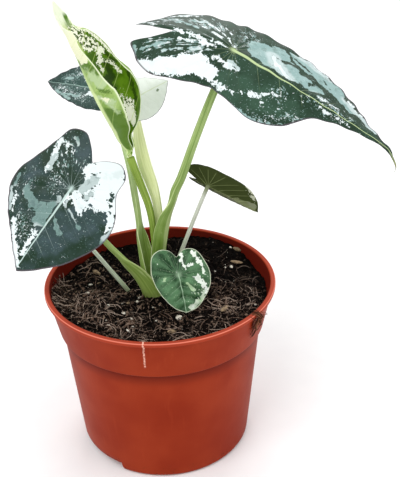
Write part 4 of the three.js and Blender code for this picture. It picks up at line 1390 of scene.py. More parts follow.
# %% Patches, veins and the back of the leaf
def with_patches(recipe, w, colour, green, mint, white):
    """The mint patches, broken by green clouds and white streaks, and over them the white ones,
    which are a little mint in places."""
    broken = recipe.rise(w.clouds + (w.grain - 0.5) * 0.5, 0.5, 0.72)
    pale = recipe.blend(mint, green, broken * 0.4)
    pale = recipe.blend(pale, white, recipe.rise(w.fine_streak, 0.62, 0.7) * 0.4)
    colour = recipe.blend(colour, pale, w.is_mint)
    minty = recipe.rise(w.cloud + (w.clouds - 0.5) * 0.4, 0.52, 0.72)
    cream = recipe.blend(white, mint, minty * 0.35)
    return recipe.blend(colour, cream, w.is_white)


def with_veins(recipe, w, colour, vein, veined):
    """The side veins, stronger near the stalk, then the midrib, then the pale heart over the
    stalk."""
    near = 1 - recipe.rise(w.outward, 3.0, 15.0)
    strength = w.line * (near * 0.45 + 0.25 + (w.grain - 0.5) * 0.8) * veined * 2.0
    colour = recipe.blend(colour, vein, recipe.rise(strength, 0.0, 1.0))
    colour = recipe.blend(colour, vein, w.middle * 0.9)
    heart = 1 - recipe.rise(recipe.length(w.u, w.v) + (w.grain - 0.5) * 3.0, 0.4, 2.6)
    return recipe.blend(colour, vein, heart * min(0.7, 2 * veined))


def underside(recipe, w, under, mint, white):
    """The back of the leaf: dull green, paler veins, and the patches shining through."""
    dull = recipe.blend(under[0], under[1], recipe.rise(w.line + w.middle, 0.1, 0.7))
    dull = recipe.blend(dull, white, w.is_white * 0.55)
    return recipe.blend(dull, mint, w.is_mint * 0.3)


print("further layers: patches, veins, underside")

# %% Leaf finish
DRY_TIP = rgb(158, 160, 92)


def leaf_finish(name, greens, mint, white, vein, rim, under, seed, gloss=0.4, midrib=(0.8, 0.3),
                ragged=1.0, flecked=0.0, veined=0.35, painted_glow=0.0, streaky=0.45,
                quilt_shading=0.0, yellow_tip=200.0):
    """A variegated leaf. greens are its dark and its smooth green, rim the thin line along the
    margin, and under the two colours of the underside. midrib is its half width at the stalk and
    at the tip. glow is painted light that stands in for light coming through a thin pale leaf. The
    smaller streaky is, the longer are the flecks on the lobes. quilted paints light and shade: it
    makes the leaf paler between its veins, where the swollen tissue is lit. From yellow_tip, in mm
    from the stalk, the drip tip turns yellow."""
    recipe = Recipe(name, Specular_IOR_Level=0.22)
    w = leaf_wires(recipe, seed, ragged, streaky, midrib)
    green = green_tissue(recipe, w, greens, quilt_shading)
    colour = with_flecks(recipe, w, green, mint, white, seed, flecked)
    mint = recipe.blend(mint, white, recipe.rise(w.white_in, -4.6, -2.4) * 0.5)
    colour = with_patches(recipe, w, colour, greens[1], mint, white)
    colour = with_veins(recipe, w, colour, vein, veined)
    dry = recipe.rise(w.u, yellow_tip, yellow_tip + 10)
    colour = recipe.blend(colour, DRY_TIP, dry * 0.8)
    colour = recipe.blend(colour, rim, recipe.rise(w.share, 0.975, 0.985) * 0.75)
    below = 1 - recipe.rise(w.top, -0.05, 0.05)
    colour = recipe.blend(colour, underside(recipe, w, under, mint, white), below)
    rough = gloss + 0.14 * w.grain + below * 0.25
    relief = w.grain * 0.3 + w.clouds * 0.6 - w.line * 0.8
    # Emission: painted light that stands in for light coming through a thin pale leaf.
    return recipe.finish(Base_Color=colour, Roughness=rough, Normal=recipe.bump(relief, 0.15, 0.6),
                         Emission_Color=colour, Emission_Strength=painted_glow)


print("a dry tip as amounts of light:", [round(part, 3) for part in DRY_TIP])

# %% Painted strokes of the left leaf
# The paint, then the two ends (u, v) and half the width of the stroke, in mm on the flat leaf.
STROKES = {}
STROKES["blade_left"] = [
    ("slate", 2, 16, 28, 6, 7.5), ("slate", -22, -8, -14, -4, 5),
    ("slate", 0, -24, 4, -22, 4), ("white", -19, 9, -8, 18.5, 7.5),
    ("white", -13, 4, -3, 15, 4.6), ("white", -3, 12, 3, 7, 2.6),
    ("white", -2, 6, 6, 1.5, 1.6), ("white", -4, 22, 6, 27, 2.2),
    ("mint", 5, 27.6, 12, 27, 1.2), ("mint", -11, 7, -3, 5, 2.3),
    ("mint", -4, 9.5, -1, 8.6, 1.6), ("dark", -9, 18.6, -6.4, 18.8, 1.3),
    ("dark", -4.5, 20.3, -2, 21.8, 0.6), ("dark", 3.6, 14, 7, 21, 1.8),
    ("white", 3.4, 3, 7.4, 10.6, 1.1), ("white", 1.4, 4, 3.4, 11, 1.2),
    ("dark", 5, 3.2, 9.5, 3.4, 0.8), ("mint", 17.4, 2.6, 20.8, 7.6, 1.2),
    ("mint", 9, 5.4, 13.2, 14, 0.9), ("mint", 6, 1.8, 10, 3.4, 0.6),
    ("mint", 14, -18.2, 17.4, -10.4, 2.3), ("mint", 12, -18.6, 15, -17, 1.3),
    ("mint", 12.4, -3.4, 22.4, -2.6, 2.2), ("mint", 15.4, -6.6, 23, -4.4, 2.2),
    ("mint", 7, -2.2, 12.4, -1.8, 0.9), ("white", -16.6, -18.9, -9, -17, 1.2),
    ("mint", -8.5, -16.6, -1.5, -15.7, 1.5), ("white", -2, -16.4, 0.6, -15.6, 0.8),
    ("mint", -22, -12.6, -19.8, -10.6, 1.1), ("white", -18, -15.5, -13.5, -12.6, 0.5),
    ("white", -17, -11, -14, -9.8, 0.4), ("mint", 9, -26.4, 15, -25, 0.8),
    ("mint", 17, -25.8, 26, -20.6, 0.8), ("white", 18, -22.4, 22, -20.6, 0.5),
    ("white", 29, -15.6, 38, -8.6, 1.3), ("white", 37, -8.8, 46.5, -1.4, 1.9),
    ("white", 28, -2.4, 33.6, -2, 1.3), ("white", 33, -2.8, 40, -1.6, 1.0),
    ("dark", 35.5, -6.4, 38, -4, 0.8), ("white", 22, -21, 29, -16, 0.4),
    ("fleck", -17, -15, -11, -9, 3.5), ("fleck", -10, -12, -2, -8, 3),
    ("fleck", 0, -9, 5, -9, 1.5), ("fleck", 8, -22, 14, -20, 2),
    ("fleck", 26, -14, 32, -9, 3.5),
]
print("strokes on the left leaf:", len(STROKES["blade_left"]))

# %% Painted strokes of the long leaf
STROKES["blade_right"] = [
    ("slate", 4, -16, 36, -10, 5), ("slate", -50, -13, -46, -16, 3),
    ("white", -41, -21.5, -30, -21.8, 2.9), ("white", -31, -20.8, -18, -18.5, 4.6),
    ("white", -20, -15, -12, -12, 3.8), ("white", -14, -17, -5, -15.5, 3.8),
    ("white", -4, -18.4, 4, -19, 0.9), ("dark", -9, -23.5, 0, -22, 1.2),
    ("dark", -20, -9.8, -17, -10.4, 0.7), ("white", -6.5, -7.6, 0, -8, 1.0),
    ("white", 0, -8.4, 5, -8, 0.9), ("mint", 1, -6.4, 6, -6.6, 0.9),
    ("white", 4.5, -18.6, 9, -17.2, 0.1), ("white", 10, -16.9, 13, -15.6, 0.3),
    ("white", 16, -13.6, 21, -12, 0.9), ("white", 21.5, -12.5, 23, -14, 0.5),
    ("white", 22, -10.5, 27, -7.6, 0.5), ("mint", 8.5, 13, 17, 18, 4.6),
    ("mint", 9, 6.5, 30, 6, 3.6), ("mint", 12, 11, 30, 10.5, 3.6),
    ("mint", 20, 21, 36, 26, 4.6), ("mint", 28, 12, 37, 8.4, 4.2),
    ("mint", 34, 24, 52, 18.5, 5.6), ("mint", 50, 17, 62, 10.6, 3.0),
    ("mint", 36, 6.6, 44, 9, 2.8), ("dark", 18, 28, 25, 25, 1.0),
    ("dark", 25, 25, 27.5, 20, 0.8), ("dark", 27.5, 20, 32, 17, 1.1),
    ("dark", 28, 24, 38, 20, 0.7), ("dark", 33, 15, 39, 13.6, 1.5),
    ("dark", 38, 17, 42, 12, 1.3), ("dark", 38, 8.6, 40, 10.6, 0.7),
    ("dark", 45, 20.5, 49, 16, 0.5), ("white", 18.2, 12.8, 21, 8.8, 1.1),
    ("white", 20.4, 8.6, 27, 4, 1.1), ("white", 27, 31, 46, 27.5, 0.5),
    ("mint", 44, 3.4, 50, 4.6, 0.5), ("white", 44, 2.6, 58, 4.6, 0.4),
    ("white", 48, -1.6, 54, -2.4, 0.35), ("white", 57, -1.6, 64, -2, 0.3),
    ("mint", 12, -22.6, 24, -23, 0.7), ("mint", 26, -22, 34, -20, 0.3),
    ("mint", 60, 13.6, 76, 5.6, 1.6), ("white", 60, 16, 76, 6.8, 0.5),
    ("white", -45, 16.5, -28, 20.5, 1.3), ("white", -56, 9.4, -41, 2.2, 0.6),
    ("mint", -52, 13, -46, 15, 0.9), ("white", -29, -1.2, -15, -1.6, 0.9),
    ("white", -17, -1.6, -3, -0.4, 0.5), ("white", -22, 10.5, -7, 3.5, 0.45),
    ("white", -17, 13, -7, 7.6, 0.45), ("mint", -31, 8, -20, 5.4, 0.6),
    ("mint", -30, 13.6, -20, 13.8, 0.7), ("white", -5, 6.4, -1, 2, 0.5),
    ("white", -9, 15.6, -5, 12.6, 0.4), ("mint", -42, -12.6, -31, -9, 0.45),
    ("mint", -34, -8, -20, -5.4, 0.4), ("mint", -31, -12.6, -22, -9.4, 0.5),
    ("white", -25, -5, -8, -3, 0.35), ("mint", -18, -8.4, -8, -5, 0.4),
    ("mint", -48, -12, -46, -16, 0.9), ("fleck", -40, 10, -12, 13, 5),
    ("fleck", -40, -11, -16, -7, 4.5), ("fleck", 2, 12, 4, 20, 3),
    ("fleck", 26, -21, 40, -13, 2.5), ("fleck", 42, 1, 60, 1, 2.5),
    ("fleck", 26, -7, 30, -6, 1.5),
]
print("strokes on the long leaf:", len(STROKES["blade_right"]))

# %% Painted strokes of the other open leaves
STROKES.update({
    "blade_rear_left": [
        ("slate", 2, -2, 20, -2, 6), ("white", 1, 5, 5, 4.6, 2.0), ("mint", -6, 3, 2, 2, 0.8),
        ("mint", 10, 8, 18, 8, 0.8), ("mint", 14, 11.4, 26, 6.6, 0.8),
        ("mint", 22, -4, 30, -3, 0.6), ("fleck", 6, 8, 26, 4, 3.5), ("fleck", 10, -8, 24, -6, 3)],
    "blade_rear_right": [
        ("white", -8, 0, 24, 0, 19), ("dark", 14.4, -2.4, 15, -1.6, 0.3)],
    "blade_small_right": [
        ("slate", 0, 4, 20, 3, 3), ("mint", 6, 5, 24, -1, 3.2), ("mint", -9, 3, -4, 6, 1.2),
        ("white", 17, -12.4, 23, -9.4, 0.5), ("white", 22, -8, 24.6, -5, 0.4),
        ("white", 15, 6.4, 19, 5, 0.3)],
    "blade_small_front": [
        ("slate", 1, -7, 13, -4, 3), ("slate", 5, 5, 11, 3, 2.6), ("slate", -9, 6, -4, 8, 2),
        ("white", -9.6, 3.2, -3.6, 3.8, 0.95), ("white", -3.4, 4.4, -3.8, 8.6, 0.3),
        ("white", -9.6, 9.4, -3, 12.6, 1.0), ("white", -3, 12.6, 2, 12.6, 0.5),
        ("white", 2.8, 8.8, 8.6, 12.2, 1.3), ("white", 8, 13, 12, 12.6, 0.5),
        ("mint", 14.4, 9.6, 17.6, 3, 1.2), ("white", 16.8, 4, 18, 2.4, 0.6),
        ("mint", 11, 11, 14, 9, 0.8), ("mint", 5, 3.4, 9, 6, 0.7),
        ("mint", -1.4, -5, 1.6, -9, 0.4), ("fleck", 9, 9, 14, 8, 2.0)],
    "blade_small_left": [
        ("mint", 2, 4, 8, 5, 2), ("white", -5, -4, 0, -6, 1.4), ("fleck", 0, -3, 12, 2, 4)],
})
print("strokes on all open blades:", sum(len(strokes) for strokes in STROKES.values()))

# %% Colours of the leaves
WHITE = rgb(226, 236, 237)
RIM = rgb(88, 80, 88)
UNDER = (rgb(124, 150, 116), rgb(170, 188, 142))
FINISHES = {
    "blade_left": leaf_finish(
        "left_leaf", (rgb(22, 48, 32), rgb(59, 78, 82)), rgb(110, 139, 134), WHITE,
        rgb(196, 218, 212), RIM, UNDER, 1.0, midrib=(0.7, 0.35), flecked=0.015, veined=0.25),
    "blade_right": leaf_finish(
        "right_leaf", (rgb(28, 54, 36), rgb(52, 82, 64)), rgb(145, 176, 173), WHITE,
        rgb(196, 216, 160), RIM, UNDER, 2.0, midrib=(1.1, 0.3), streaky=0.12, veined=0.2,
        yellow_tip=88.0),
    "blade_rear_left": leaf_finish(
        "rear_left_leaf", (rgb(30, 56, 50), rgb(56, 84, 78)), rgb(146, 174, 170), WHITE,
        rgb(140, 168, 158), RIM, UNDER, 3.0, flecked=0.01, midrib=(0.5, 0.2), veined=0.2),
    "blade_rear_right": leaf_finish(
        "rear_right_leaf", (rgb(110, 126, 100), rgb(150, 166, 140)), rgb(206, 214, 196),
        rgb(232, 238, 230), rgb(214, 222, 198), RIM, (rgb(200, 208, 182), rgb(218, 224, 200)),
        4.0, ragged=0.5, flecked=-0.06, midrib=(0.5, 0.2), veined=0.15, painted_glow=0.12),
    "blade_small_right": leaf_finish(
        "olive_leaf", (rgb(44, 54, 20), rgb(72, 84, 40)), rgb(176, 184, 140), rgb(236, 240, 214),
        rgb(120, 130, 80), rgb(104, 76, 72), (rgb(54, 64, 24), rgb(104, 114, 70)), 5.0,
        midrib=(0.5, 0.25), flecked=-0.05, veined=0.22),
    "blade_small_front": leaf_finish(
        "front_leaf", (rgb(12, 52, 20), rgb(92, 134, 94)), rgb(170, 200, 156), rgb(234, 242, 232),
        rgb(160, 190, 158), rgb(232, 240, 212), UNDER, 6.0, gloss=0.26, midrib=(0.32, 0.16),
        ragged=0.8, flecked=0.0, veined=0.25, quilt_shading=0.5),
    "blade_small_left": leaf_finish(
        "inner_left_leaf", (rgb(40, 66, 50), rgb(76, 100, 86)), rgb(160, 190, 176), WHITE,
        rgb(200, 220, 196), RIM, UNDER, 8.0, midrib=(0.5, 0.25)),
}
print("finishes of open blades:", len(FINISHES))

# %% Build the blades
# The columns and rows of the grid, then the slope, spacing and fan of the veins, then how much
# the leaf swells between its veins, dips at its midrib and waves at its margin, in mm, and by
# what share its outline goes in and out.
GRIDS = {
    "blade_left": (380, 96, (0.62, 7.5, 22), (0.35, 0.35, 0.25, 0.008)),
    "blade_right": (480, 98, (0.75, 12, 20), (0.45, 0.45, 0.35, 0.006)),
    "blade_rear_left": (260, 60, (0.6, 7, 24), (0.3, 0.3, 0.2, 0.006)),
    "blade_rear_right": (240, 50, (0.6, 5.5, 26), (0.25, 0.3, 0.15, 0.004)),
    "blade_small_right": (240, 50, (1.3, 5.5, 24), (0.3, 0.3, 0.05, 0)),
    "blade_small_front": (280, 70, (0.5, 5.5, 27), (0.8, 0.4, 0.15, 0.006)),
    "blade_small_left": (220, 44, (0.6, 5, 26), (0.3, 0.3, 0.15, 0.006)),
}
for seed, (node, (columns, rows, veins, relief)) in enumerate(GRIDS.items()):
    blade = leaf(node, BLADES[node], columns, rows, veins, relief, STROKES[node], 70 + seed)
    place_piece(blade, [node], FINISHES[node])

# %% [markdown]
# ## Sweeping the stalks
# The route and the sizes of a stalk are smooth curves through its stations. At every step the
# section is laid across the route, facing outwards, and rolled round an axis behind it. A stalk's
# last station lies just under the leaf that it carries.

# %% Sections carried along a route
def sweep_grid(faces, stations, rows, across, out):
    """Points of a bent section along the route. across and out run from -1 to 1 round the section.
    With b the bend, w the half width and h the half thickness, the section's point is
    sideways (1/b + h out) sin(b w across) + outward ((1/b + h out) cos(b w across) - 1/b)."""
    stations = np.array(stations, float)
    route = through(stations[:, :3], rows)
    width, thick, bend = (through(stations[:, 3:] * (1, 1, 10), rows) / (1, 1, 10)).T[:, :, None]
    along = np.gradient(route, axis=0)
    along /= np.linalg.norm(along, axis=1, keepdims=True)
    facing = np.array([np.cos(np.radians(faces)), np.sin(np.radians(faces)), 0])
    outward = facing - (along @ facing)[:, None] * along
    outward /= np.linalg.norm(outward, axis=1, keepdims=True)
    sideways = np.cross(along, outward)
    bend = np.maximum(bend, 1e-3)
    turn = bend * width * across
    reach = 1 / bend + thick * out
    return (route[:, None] + (reach * np.sin(turn))[..., None] * sideways[:, None]
            + (reach * np.cos(turn) - 1 / bend)[..., None] * outward[:, None]), route, width


left_route = sweep_grid(*STALKS["stalk_left"], 9, np.zeros((1, 1)), np.ones((1, 1)))[1]
print("the left stalk, halfway up:", left_route[4].round(1))

# %% A stalk's surface
STALK_ROWS = 150
STALK_COLUMNS = 64
RIBS = 9
# The thinnest stalks are a little slimmer than their solids.
SLIM = {"stalk_small_right": 0.84, "stalk_small_left": 0.84}


def stalk_piece(node):
    """A stalk with fine lengthwise ribs, ending inside the blade it carries."""
    faces, stations = STALKS[node]
    slim = SLIM.get(node, 1.0)
    stations = [(*place, wide * slim, thick * slim, bend) for *place, wide, thick, bend in stations]
    blade = BLADES.get(node.replace("stalk", "blade"))
    if blade:
        joint, up = np.array(blade["joint"]), blade_axes(blade)[2]
        stations += [(*(joint - 1.75 * up), 1.2 * slim, 1.2 * slim, 0),
                     (*(joint - 0.3 * up), 1.1 * slim, 1.1 * slim, 0)]
    angle = np.linspace(0, 2 * np.pi, STALK_COLUMNS, endpoint=False)
    across, out = np.cos(angle)[None], -np.sin(angle)[None]
    ribs = 1 + 0.035 * np.sin(RIBS * angle) * np.abs(np.sin(angle))
    rings, route, width = sweep_grid(faces, stations, STALK_ROWS, across, out * ribs)
    piece = skin(node + "_surface", rings)
    length = np.concatenate([[0], np.cumsum(np.linalg.norm(np.diff(route, axis=0), axis=1))])
    length = length[:, None]
    write_attribute(piece, "stalk", spread(length, width, across))
    write_attribute(piece, "round", spread(across, out, length / length[-1]))
    return piece


print("a stalk has", STALK_ROWS, "rings of", STALK_COLUMNS, "points")


# %% Green of the stalks
def stalk_finish(name, low, high, shade, edge, top, seed):
    """Juicy green with fine lengthwise fibres, darker below and paler above, with paler blotches
    and a thin pale papery edge along each side of the sheath. Near the soil it turns browner and
    darker: soil stain together with painted shade. Pale lengthwise stripes are painted highlights,
    dark ones are painted shade, and painted shade darkens the inner side of the sheath. shade is
    the colour of the ribs, the dark stripes and the inner side, and top the colour where the stalk
    meets its leaf. The surface gives off a little light: painted light that stands in for light
    coming through the soft tissue."""
    recipe = Recipe(name, Specular_IOR_Level=0.25)
    length, width, across, _ = recipe.attribute("stalk")
    a, b, share, _ = recipe.attribute("round")
    fibres = recipe.noise(recipe.vector(a * 6.0, b * 6.0, length * 0.04 + seed), 1.0, 4.0, 0.65)
    cloud = recipe.noise(recipe.vector(a * 1.2, b * 1.2, length * 0.12 + seed), 1.0, 4.0, 0.6)
    colour = recipe.blend(low, high, recipe.rise(share + (cloud - 0.5) * 0.5, 0.1, 0.8))
    colour = recipe.blend(colour, edge, recipe.rise(cloud, 0.56, 0.7) * 0.4)
    colour = recipe.blend(colour, shade, recipe.rise(fibres, 0.46, 0.66) * 0.6)
    # Lengthwise stripes: the pale ones are painted highlights and the dark ones painted shade.
    drawn_out = recipe.vector(a * 2.4, b * 2.4, length * 0.012 + seed + 5.0)
    stripes = recipe.noise(drawn_out, 1.0, 2.0, 0.6)
    colour = recipe.blend(colour, edge, recipe.rise(stripes, 0.56, 0.68) * 0.5)
    colour = recipe.blend(colour, shade, (1 - recipe.rise(stripes, 0.34, 0.44)) * 0.6)
    sheath = recipe.rise(width, 2.6, 4.0)
    # Painted shade: the inner side of the sheath, which wraps the younger stalks, is darkened.
    inner = sheath * recipe.rise(b * -1.0, 0.0, 0.2)
    colour = recipe.blend(colour, shade, inner * 0.4)
    # Soil stain and painted shade: browner and darker near the soil, where the stalk meets it.
    z = recipe.parts(recipe.place())[2]
    soil_stain_and_shade = 1 - recipe.rise(z + (cloud - 0.5) * 12.0, 83.0, 90.0)
    colour = recipe.blend(colour, rgb(64, 54, 36), soil_stain_and_shade * 0.45)
    colour = recipe.blend(colour, top, recipe.rise(share, 0.9, 0.985) * 0.85)
    papery = recipe.rise(recipe.size_of(across), 0.95, 0.985) * sheath
    colour = recipe.blend(colour, edge, papery)
    rough = 0.4 + fibres * 0.12 + papery * 0.3
    # Emission: painted light that stands in for light coming through the soft tissue.
    return recipe.finish(Base_Color=colour, Roughness=rough,
                         Normal=recipe.bump(fibres + cloud * 0.4, 0.2, 0.6),
                         Emission_Color=colour, Emission_Strength=0.1)


print("above a share of 0.9 of its length a stalk takes the colour of its leaf")

# %% Build the stalks
# Each stalk's colour low and high, the colour of its ribs and painted shade, and the colour of its
# papery edge, blotches and painted highlights.
STALK_COLOURS = {
    "stalk_left": ((142, 166, 82), (152, 174, 106), (108, 134, 54), (206, 216, 158)),
    "stalk_rear_left": ((136, 162, 78), (188, 210, 150), (104, 130, 52), (216, 226, 178)),
    "stalk_right": ((94, 122, 40), (150, 174, 104), (76, 106, 28), (196, 210, 152)),
    "stalk_rear_right": ((206, 218, 146), (232, 238, 188), (184, 198, 122), (240, 244, 208)),
    "stalk_furled": ((96, 124, 36), (132, 158, 62), (64, 88, 22), (186, 202, 120)),
    "stalk_small_right": ((172, 182, 154), (208, 212, 200), (158, 166, 138), (220, 222, 212)),
    "stalk_small_front": ((160, 176, 132), (196, 208, 172), (138, 156, 114), (212, 218, 194)),
    "stalk_small_left": ((164, 180, 140), (226, 234, 222), (168, 180, 150), (236, 240, 230)),
}
OLIVE_JOINT = rgb(92, 102, 54)
for seed, (node, colours) in enumerate(STALK_COLOURS.items()):
    low, high, shade, edge = (rgb(*colour) for colour in colours)
    top = OLIVE_JOINT if node == "stalk_small_right" else high
    finish = stalk_finish(node + "_green", low, high, shade, edge, top, 3.7 * seed)
    place_piece(stalk_piece(node), [node], finish)

# %% [markdown]
# ## The furled leaf
# The newest leaf is still rolled round itself. It is the same sweep as a sheath, wider in the
# middle and drawn to a thin tip. Its outer side is the back of the leaf, with the midrib as a
# pale ridge, and inside the roll the vivid green face shows.

# %% Stations of the furled leaf
# The same numbers as for a stalk.
FURLED_FACES = 142
FURLED = [
    (-12, 2.8, 161.4, 1.2, 0.8, 0), (-13, 3.4, 163.2, 3.5, 0.5, 0.75),
    (-13.9, 3.9, 166.5, 7.3, 0.4, 0.4), (-16.8, 3.6, 172.5, 11.4, 0.4, 0.25),
    (-18.5, 3.8, 179, 18.7, 0.4, 0.142), (-20.9, 4, 186.6, 23.8, 0.4, 0.106),
    (-23.5, 3.8, 194, 26, 0.4, 0.096), (-26, 3.2, 200.7, 25.5, 0.4, 0.098),
    (-28.8, 1.2, 208, 19.6, 0.4, 0.12), (-31.6, -0.3, 215.9, 15.6, 0.4, 0.139),
    (-34.5, -2.4, 222.2, 11.2, 0.4, 0.19), (-37.7, -4.9, 228, 5.7, 0.4, 0.38),
    (-40.5, -8.8, 239.5, 0.5, 0.4, 0),
]
print("the furled leaf is", FURLED[-1][2] - FURLED[0][2], "mm high")

# %% Strokes on the furled leaf
# The paint, then the two ends (height, distance from the midrib) and half the width, in mm. A
# distance below 0 is the half whose inner face shows, and above 0 the half that is rolled over.
FURLED_STROKES = [
    ("white", 224, -2.6, 215.4, -4.4, 2.8), ("white", 217, -6.5, 211.6, -9, 1.7),
    ("white", 211.4, -8, 206.4, -6.4, 1.0), ("white", 206.6, -8.6, 203.6, -11.2, 0.9),
    ("white", 203.6, -11.4, 198.6, -12.4, 0.8), ("white", 205, -5.4, 201.6, -5.2, 0.6),
    ("white", 224.6, -6, 216, -11.8, 1.4), ("white", 216, -11.8, 206, -17.6, 1.3),
    ("slate", 204, -8.4, 197.6, -7.4, 1.7), ("slate", 199, -5.4, 190, -5.6, 1.5),
    ("slate", 213, -10, 205, -13, 1.2), ("slate", 200, -18, 186, -15.6, 1.3),
    ("white", 184.4, -10.4, 178.4, -9.8, 2.7), ("white", 189, -8.4, 186, -11, 0.7),
    ("fleck", 225, -3, 216, -5, 4), ("fleck", 190, -9, 184, -12, 2.2),
    ("fleck", 208, -9, 201, -12, 1.6), ("white", 231, 3, 221, 8, 3.6),
    ("white", 221.4, 8, 217, 12.4, 3.0), ("slate", 214, 11.4, 209.6, 17, 2.3),
    ("mint", 208.6, 14, 205, 20, 2.0), ("slate", 203.6, 18.4, 199.6, 22.4, 1.6),
    ("mint", 197, 16, 194, 21.6, 1.8), ("white", 196.4, 17.6, 195, 21, 0.7),
    ("mint", 192, 20, 188, 21, 1.0), ("slate", 186.6, 17.6, 168, 8, 4.8),
]
print("strokes on the furled leaf:", len(FURLED_STROKES))

# %% The rolled sheet
FURLED_ROWS = 260
FURLED_COLUMNS = 240


def furled_piece():
    """The rolled sheet. Its attributes give the height, the distance from the midrib along the
    sheet, and the side: 1 outside, -1 inside."""
    angle = np.linspace(0, 2 * np.pi, FURLED_COLUMNS, endpoint=False)
    across, out = np.cos(angle)[None], -np.sin(angle)[None]
    flat_out = np.sign(out) * np.abs(out) ** 0.5
    rings, route, width = sweep_grid(FURLED_FACES, FURLED, FURLED_ROWS, across, flat_out * 0.8)
    piece = skin("blade_furled_surface", rings)
    height = route[:, 2:] + 0 * rings[..., 0]
    offset = across * width
    side = np.sign(out) * np.minimum(1, np.abs(out) * 6)
    fields = paint_fields(FURLED_STROKES, height, offset)
    write_attribute(piece, "roll", spread(height, offset, side))
    write_attribute(piece, "tone", spread(*fields[:3]))
    write_attribute(piece, "shade", spread(fields[3], across, 0))
    return piece


print("the roll faces", FURLED_FACES, "degrees on the compass")


# %% What the furled leaf's colours are made of
# The first side vein leaves the midrib at this height, and the next ones at this distance.
FIRST_VEIN = 187.2
VEIN_SPACING = 9.0


def furled_wires(recipe):
    """As for an open leaf: numbers stored in the mesh, noises, and patches made of both. Fine
    veins slant up and outwards from the midrib."""
    w = SimpleNamespace()
    w.height, w.offset, side, place = recipe.attribute("roll")
    white_in, mint_in, w.fleck_in, _ = recipe.attribute("tone")
    slate_in, w.across, _, _ = recipe.attribute("shade")
    w.away = recipe.size_of(w.offset)
    number = (w.height - w.away * 0.985 - FIRST_VEIN) / VEIN_SPACING
    slanted = recipe.vector(number * VEIN_SPACING, w.away * 0.35, side * 3.0)
    clouds = recipe.noise(place, 0.35, 2.0, 0.55)
    streak = recipe.noise(slanted, 0.7, 3.0, 0.6, 0.4)
    w.grain = recipe.noise(place, 1.3, 3.0, 0.6)
    w.cloud = recipe.noise(place, 0.14, 4.0, 0.6)
    w.spots = recipe.noise(place, 0.9, 2.0, 0.6)
    ragged = (clouds - 0.5) * 3.0 + (streak - 0.5) * 3.5 + (w.grain - 0.5) * 3.0
    w.is_cream = recipe.rise(white_in + ragged, -0.1, 0.2)
    w.is_pale = recipe.rise(mint_in + (clouds - 0.5) * 6.0 + (streak - 0.5) * 2.0, -1.0, 1.0)
    w.is_deep = recipe.rise(slate_in + ragged, -0.6, 0.6)
    w.outside = recipe.rise(side, -0.1, 0.1)
    w.line = 1 - recipe.rise(recipe.off_whole(number) * VEIN_SPACING, 0.12, 0.34)
    return w


print("a side vein of the furled leaf every", VEIN_SPACING, "mm")

# %% Tissue of the furled leaf
# Two greens that lie in clouds and a deep one, first inside the roll and then outside it.
INSIDE_GREENS = (rgb(66, 102, 8), rgb(98, 136, 26), rgb(32, 56, 6))
OUTSIDE_GREENS = (rgb(112, 142, 60), rgb(144, 170, 98), rgb(66, 98, 22))


def furled_tissue(recipe, w):
    """Vivid green inside the roll and paler green outside it, with cream sectors on both. Dark
    specks lie on the cream, and pale splashes on the green."""
    clouded = recipe.rise(w.cloud, 0.35, 0.65)
    inner, outer = (
        recipe.blend(recipe.blend(low, high, clouded), deep, w.is_deep * 0.85)
        for low, high, deep in (INSIDE_GREENS, OUTSIDE_GREENS))
    outer = recipe.blend(outer, rgb(158, 178, 132), w.is_pale)
    colour = recipe.blend(inner, outer, w.outside)
    # Painted light: the cream inside the shaded roll is paler than the cream outside it.
    cream = recipe.blend(rgb(252, 252, 236), rgb(206, 208, 176), w.outside)
    colour = recipe.blend(colour, cream, w.is_cream)
    within = 1 - w.outside
    specks = recipe.rise(w.spots + w.fleck_in * 0.012, 0.52, 0.56) * w.is_cream * within
    colour = recipe.blend(colour, rgb(60, 84, 18), specks * recipe.rise(w.fleck_in, -1.0, 0.5))
    splash = recipe.rise(w.spots, 0.62, 0.65) * recipe.rise(w.fleck_in, -0.5, 1.0)
    splash = splash * (1 - w.is_cream) * within
    return recipe.blend(colour, rgb(214, 218, 170), splash * 0.8)


print("greens of the furled leaf:", len(INSIDE_GREENS), "inside,", len(OUTSIDE_GREENS), "outside")


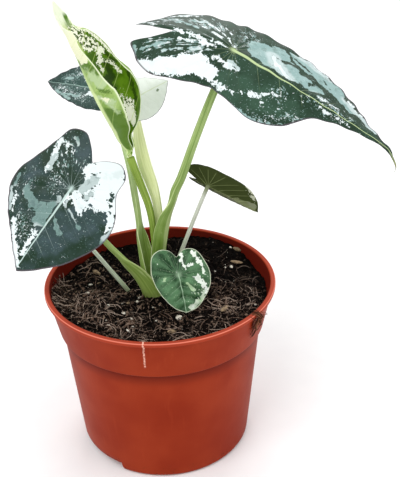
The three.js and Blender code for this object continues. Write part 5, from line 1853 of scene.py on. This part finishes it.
# %% Finish of the furled leaf
def furled_finish():
    """Bright tissue with its veins, the pale midrib, a fold, a pale edge and a pale tip with a
    green line in it. The surface gives off much light: painted light that stands in for light
    coming through the young leaf."""
    recipe = Recipe("furled_leaf", Specular_IOR_Level=0.25)
    w = furled_wires(recipe)
    colour = furled_tissue(recipe, w)
    colour = recipe.blend(colour, rgb(186, 206, 120), w.line * (0.55 - w.outside * 0.3))
    midrib = 1 - recipe.rise(w.away, 0.7, 1.5)
    colour = recipe.blend(colour, rgb(196, 210, 142), midrib * 0.85)
    folded = 1 - recipe.rise(recipe.size_of(w.across - 0.5), 0.05, 0.12)
    folded = folded * w.outside * (1 - recipe.rise(w.height, 196.0, 214.0))
    colour = recipe.blend(colour, rgb(198, 212, 150), folded * 0.8)
    edge = recipe.rise(recipe.size_of(w.across), 0.955, 0.985)
    colour = recipe.blend(colour, rgb(212, 220, 188), edge * 0.85)
    tip = recipe.rise(w.height, 224.0, 231.0)
    colour = recipe.blend(colour, rgb(220, 226, 204), tip * 0.9)
    green_line = 1 - recipe.rise(recipe.size_of(w.offset + 3.0), 0.6, 1.3)
    green_line = green_line * (1 - w.outside) * tip * (1 - recipe.rise(w.height, 231.0, 234.0))
    colour = recipe.blend(colour, rgb(72, 110, 20), green_line)
    # Emission: painted light that stands in for light coming through the young leaf.
    return recipe.finish(Base_Color=colour, Roughness=0.36 + w.grain * 0.12,
                         Normal=recipe.bump(w.grain * 0.4 - w.line * 0.6 + w.cloud, 0.2, 0.6),
                         Emission_Color=colour, Emission_Strength=0.3)


place_piece(furled_piece(), ["blade_furled"], furled_finish())

# %% [markdown]
# ## The corm
# The stalks grow from a corm, a short swollen stem that lies buried under them. It is a turned
# shape with the ring-shaped scars of old leaves.

# %% Corm
# The profile, as radius and height, and the place of its axis, in mm.
CORM = [(5, 46), (6.3, 48), (10.3, 54), (11.4, 61), (11, 69), (10.3, 71.6), (6, 71.9), (0.5, 71.9)]
CORM_PLACE = (-3, 2.8, 0)


def corm_rings():
    """A turned profile with shallow rings and uneven bark."""
    rings = turned(through(CORM, 70), 90)
    swell = 1 - 0.02 * np.abs(np.sin(rings[..., 2] * 1.1)) - 0.02 * bumps(
        np.arctan2(rings[..., 1], rings[..., 0]) * 9, rings[..., 2], 1.4, 91) ** 2
    rings[..., :2] *= swell[..., None]
    return rings + CORM_PLACE


corm_bark = soil_finish("corm_bark", rgb(60, 40, 26), rgb(112, 80, 52), rgb(150, 118, 84),
                        pale_share=0.0, rough=0.9)
place_piece(skin("corm_body", corm_rings()), ["corm"], corm_bark)

# %% [markdown]
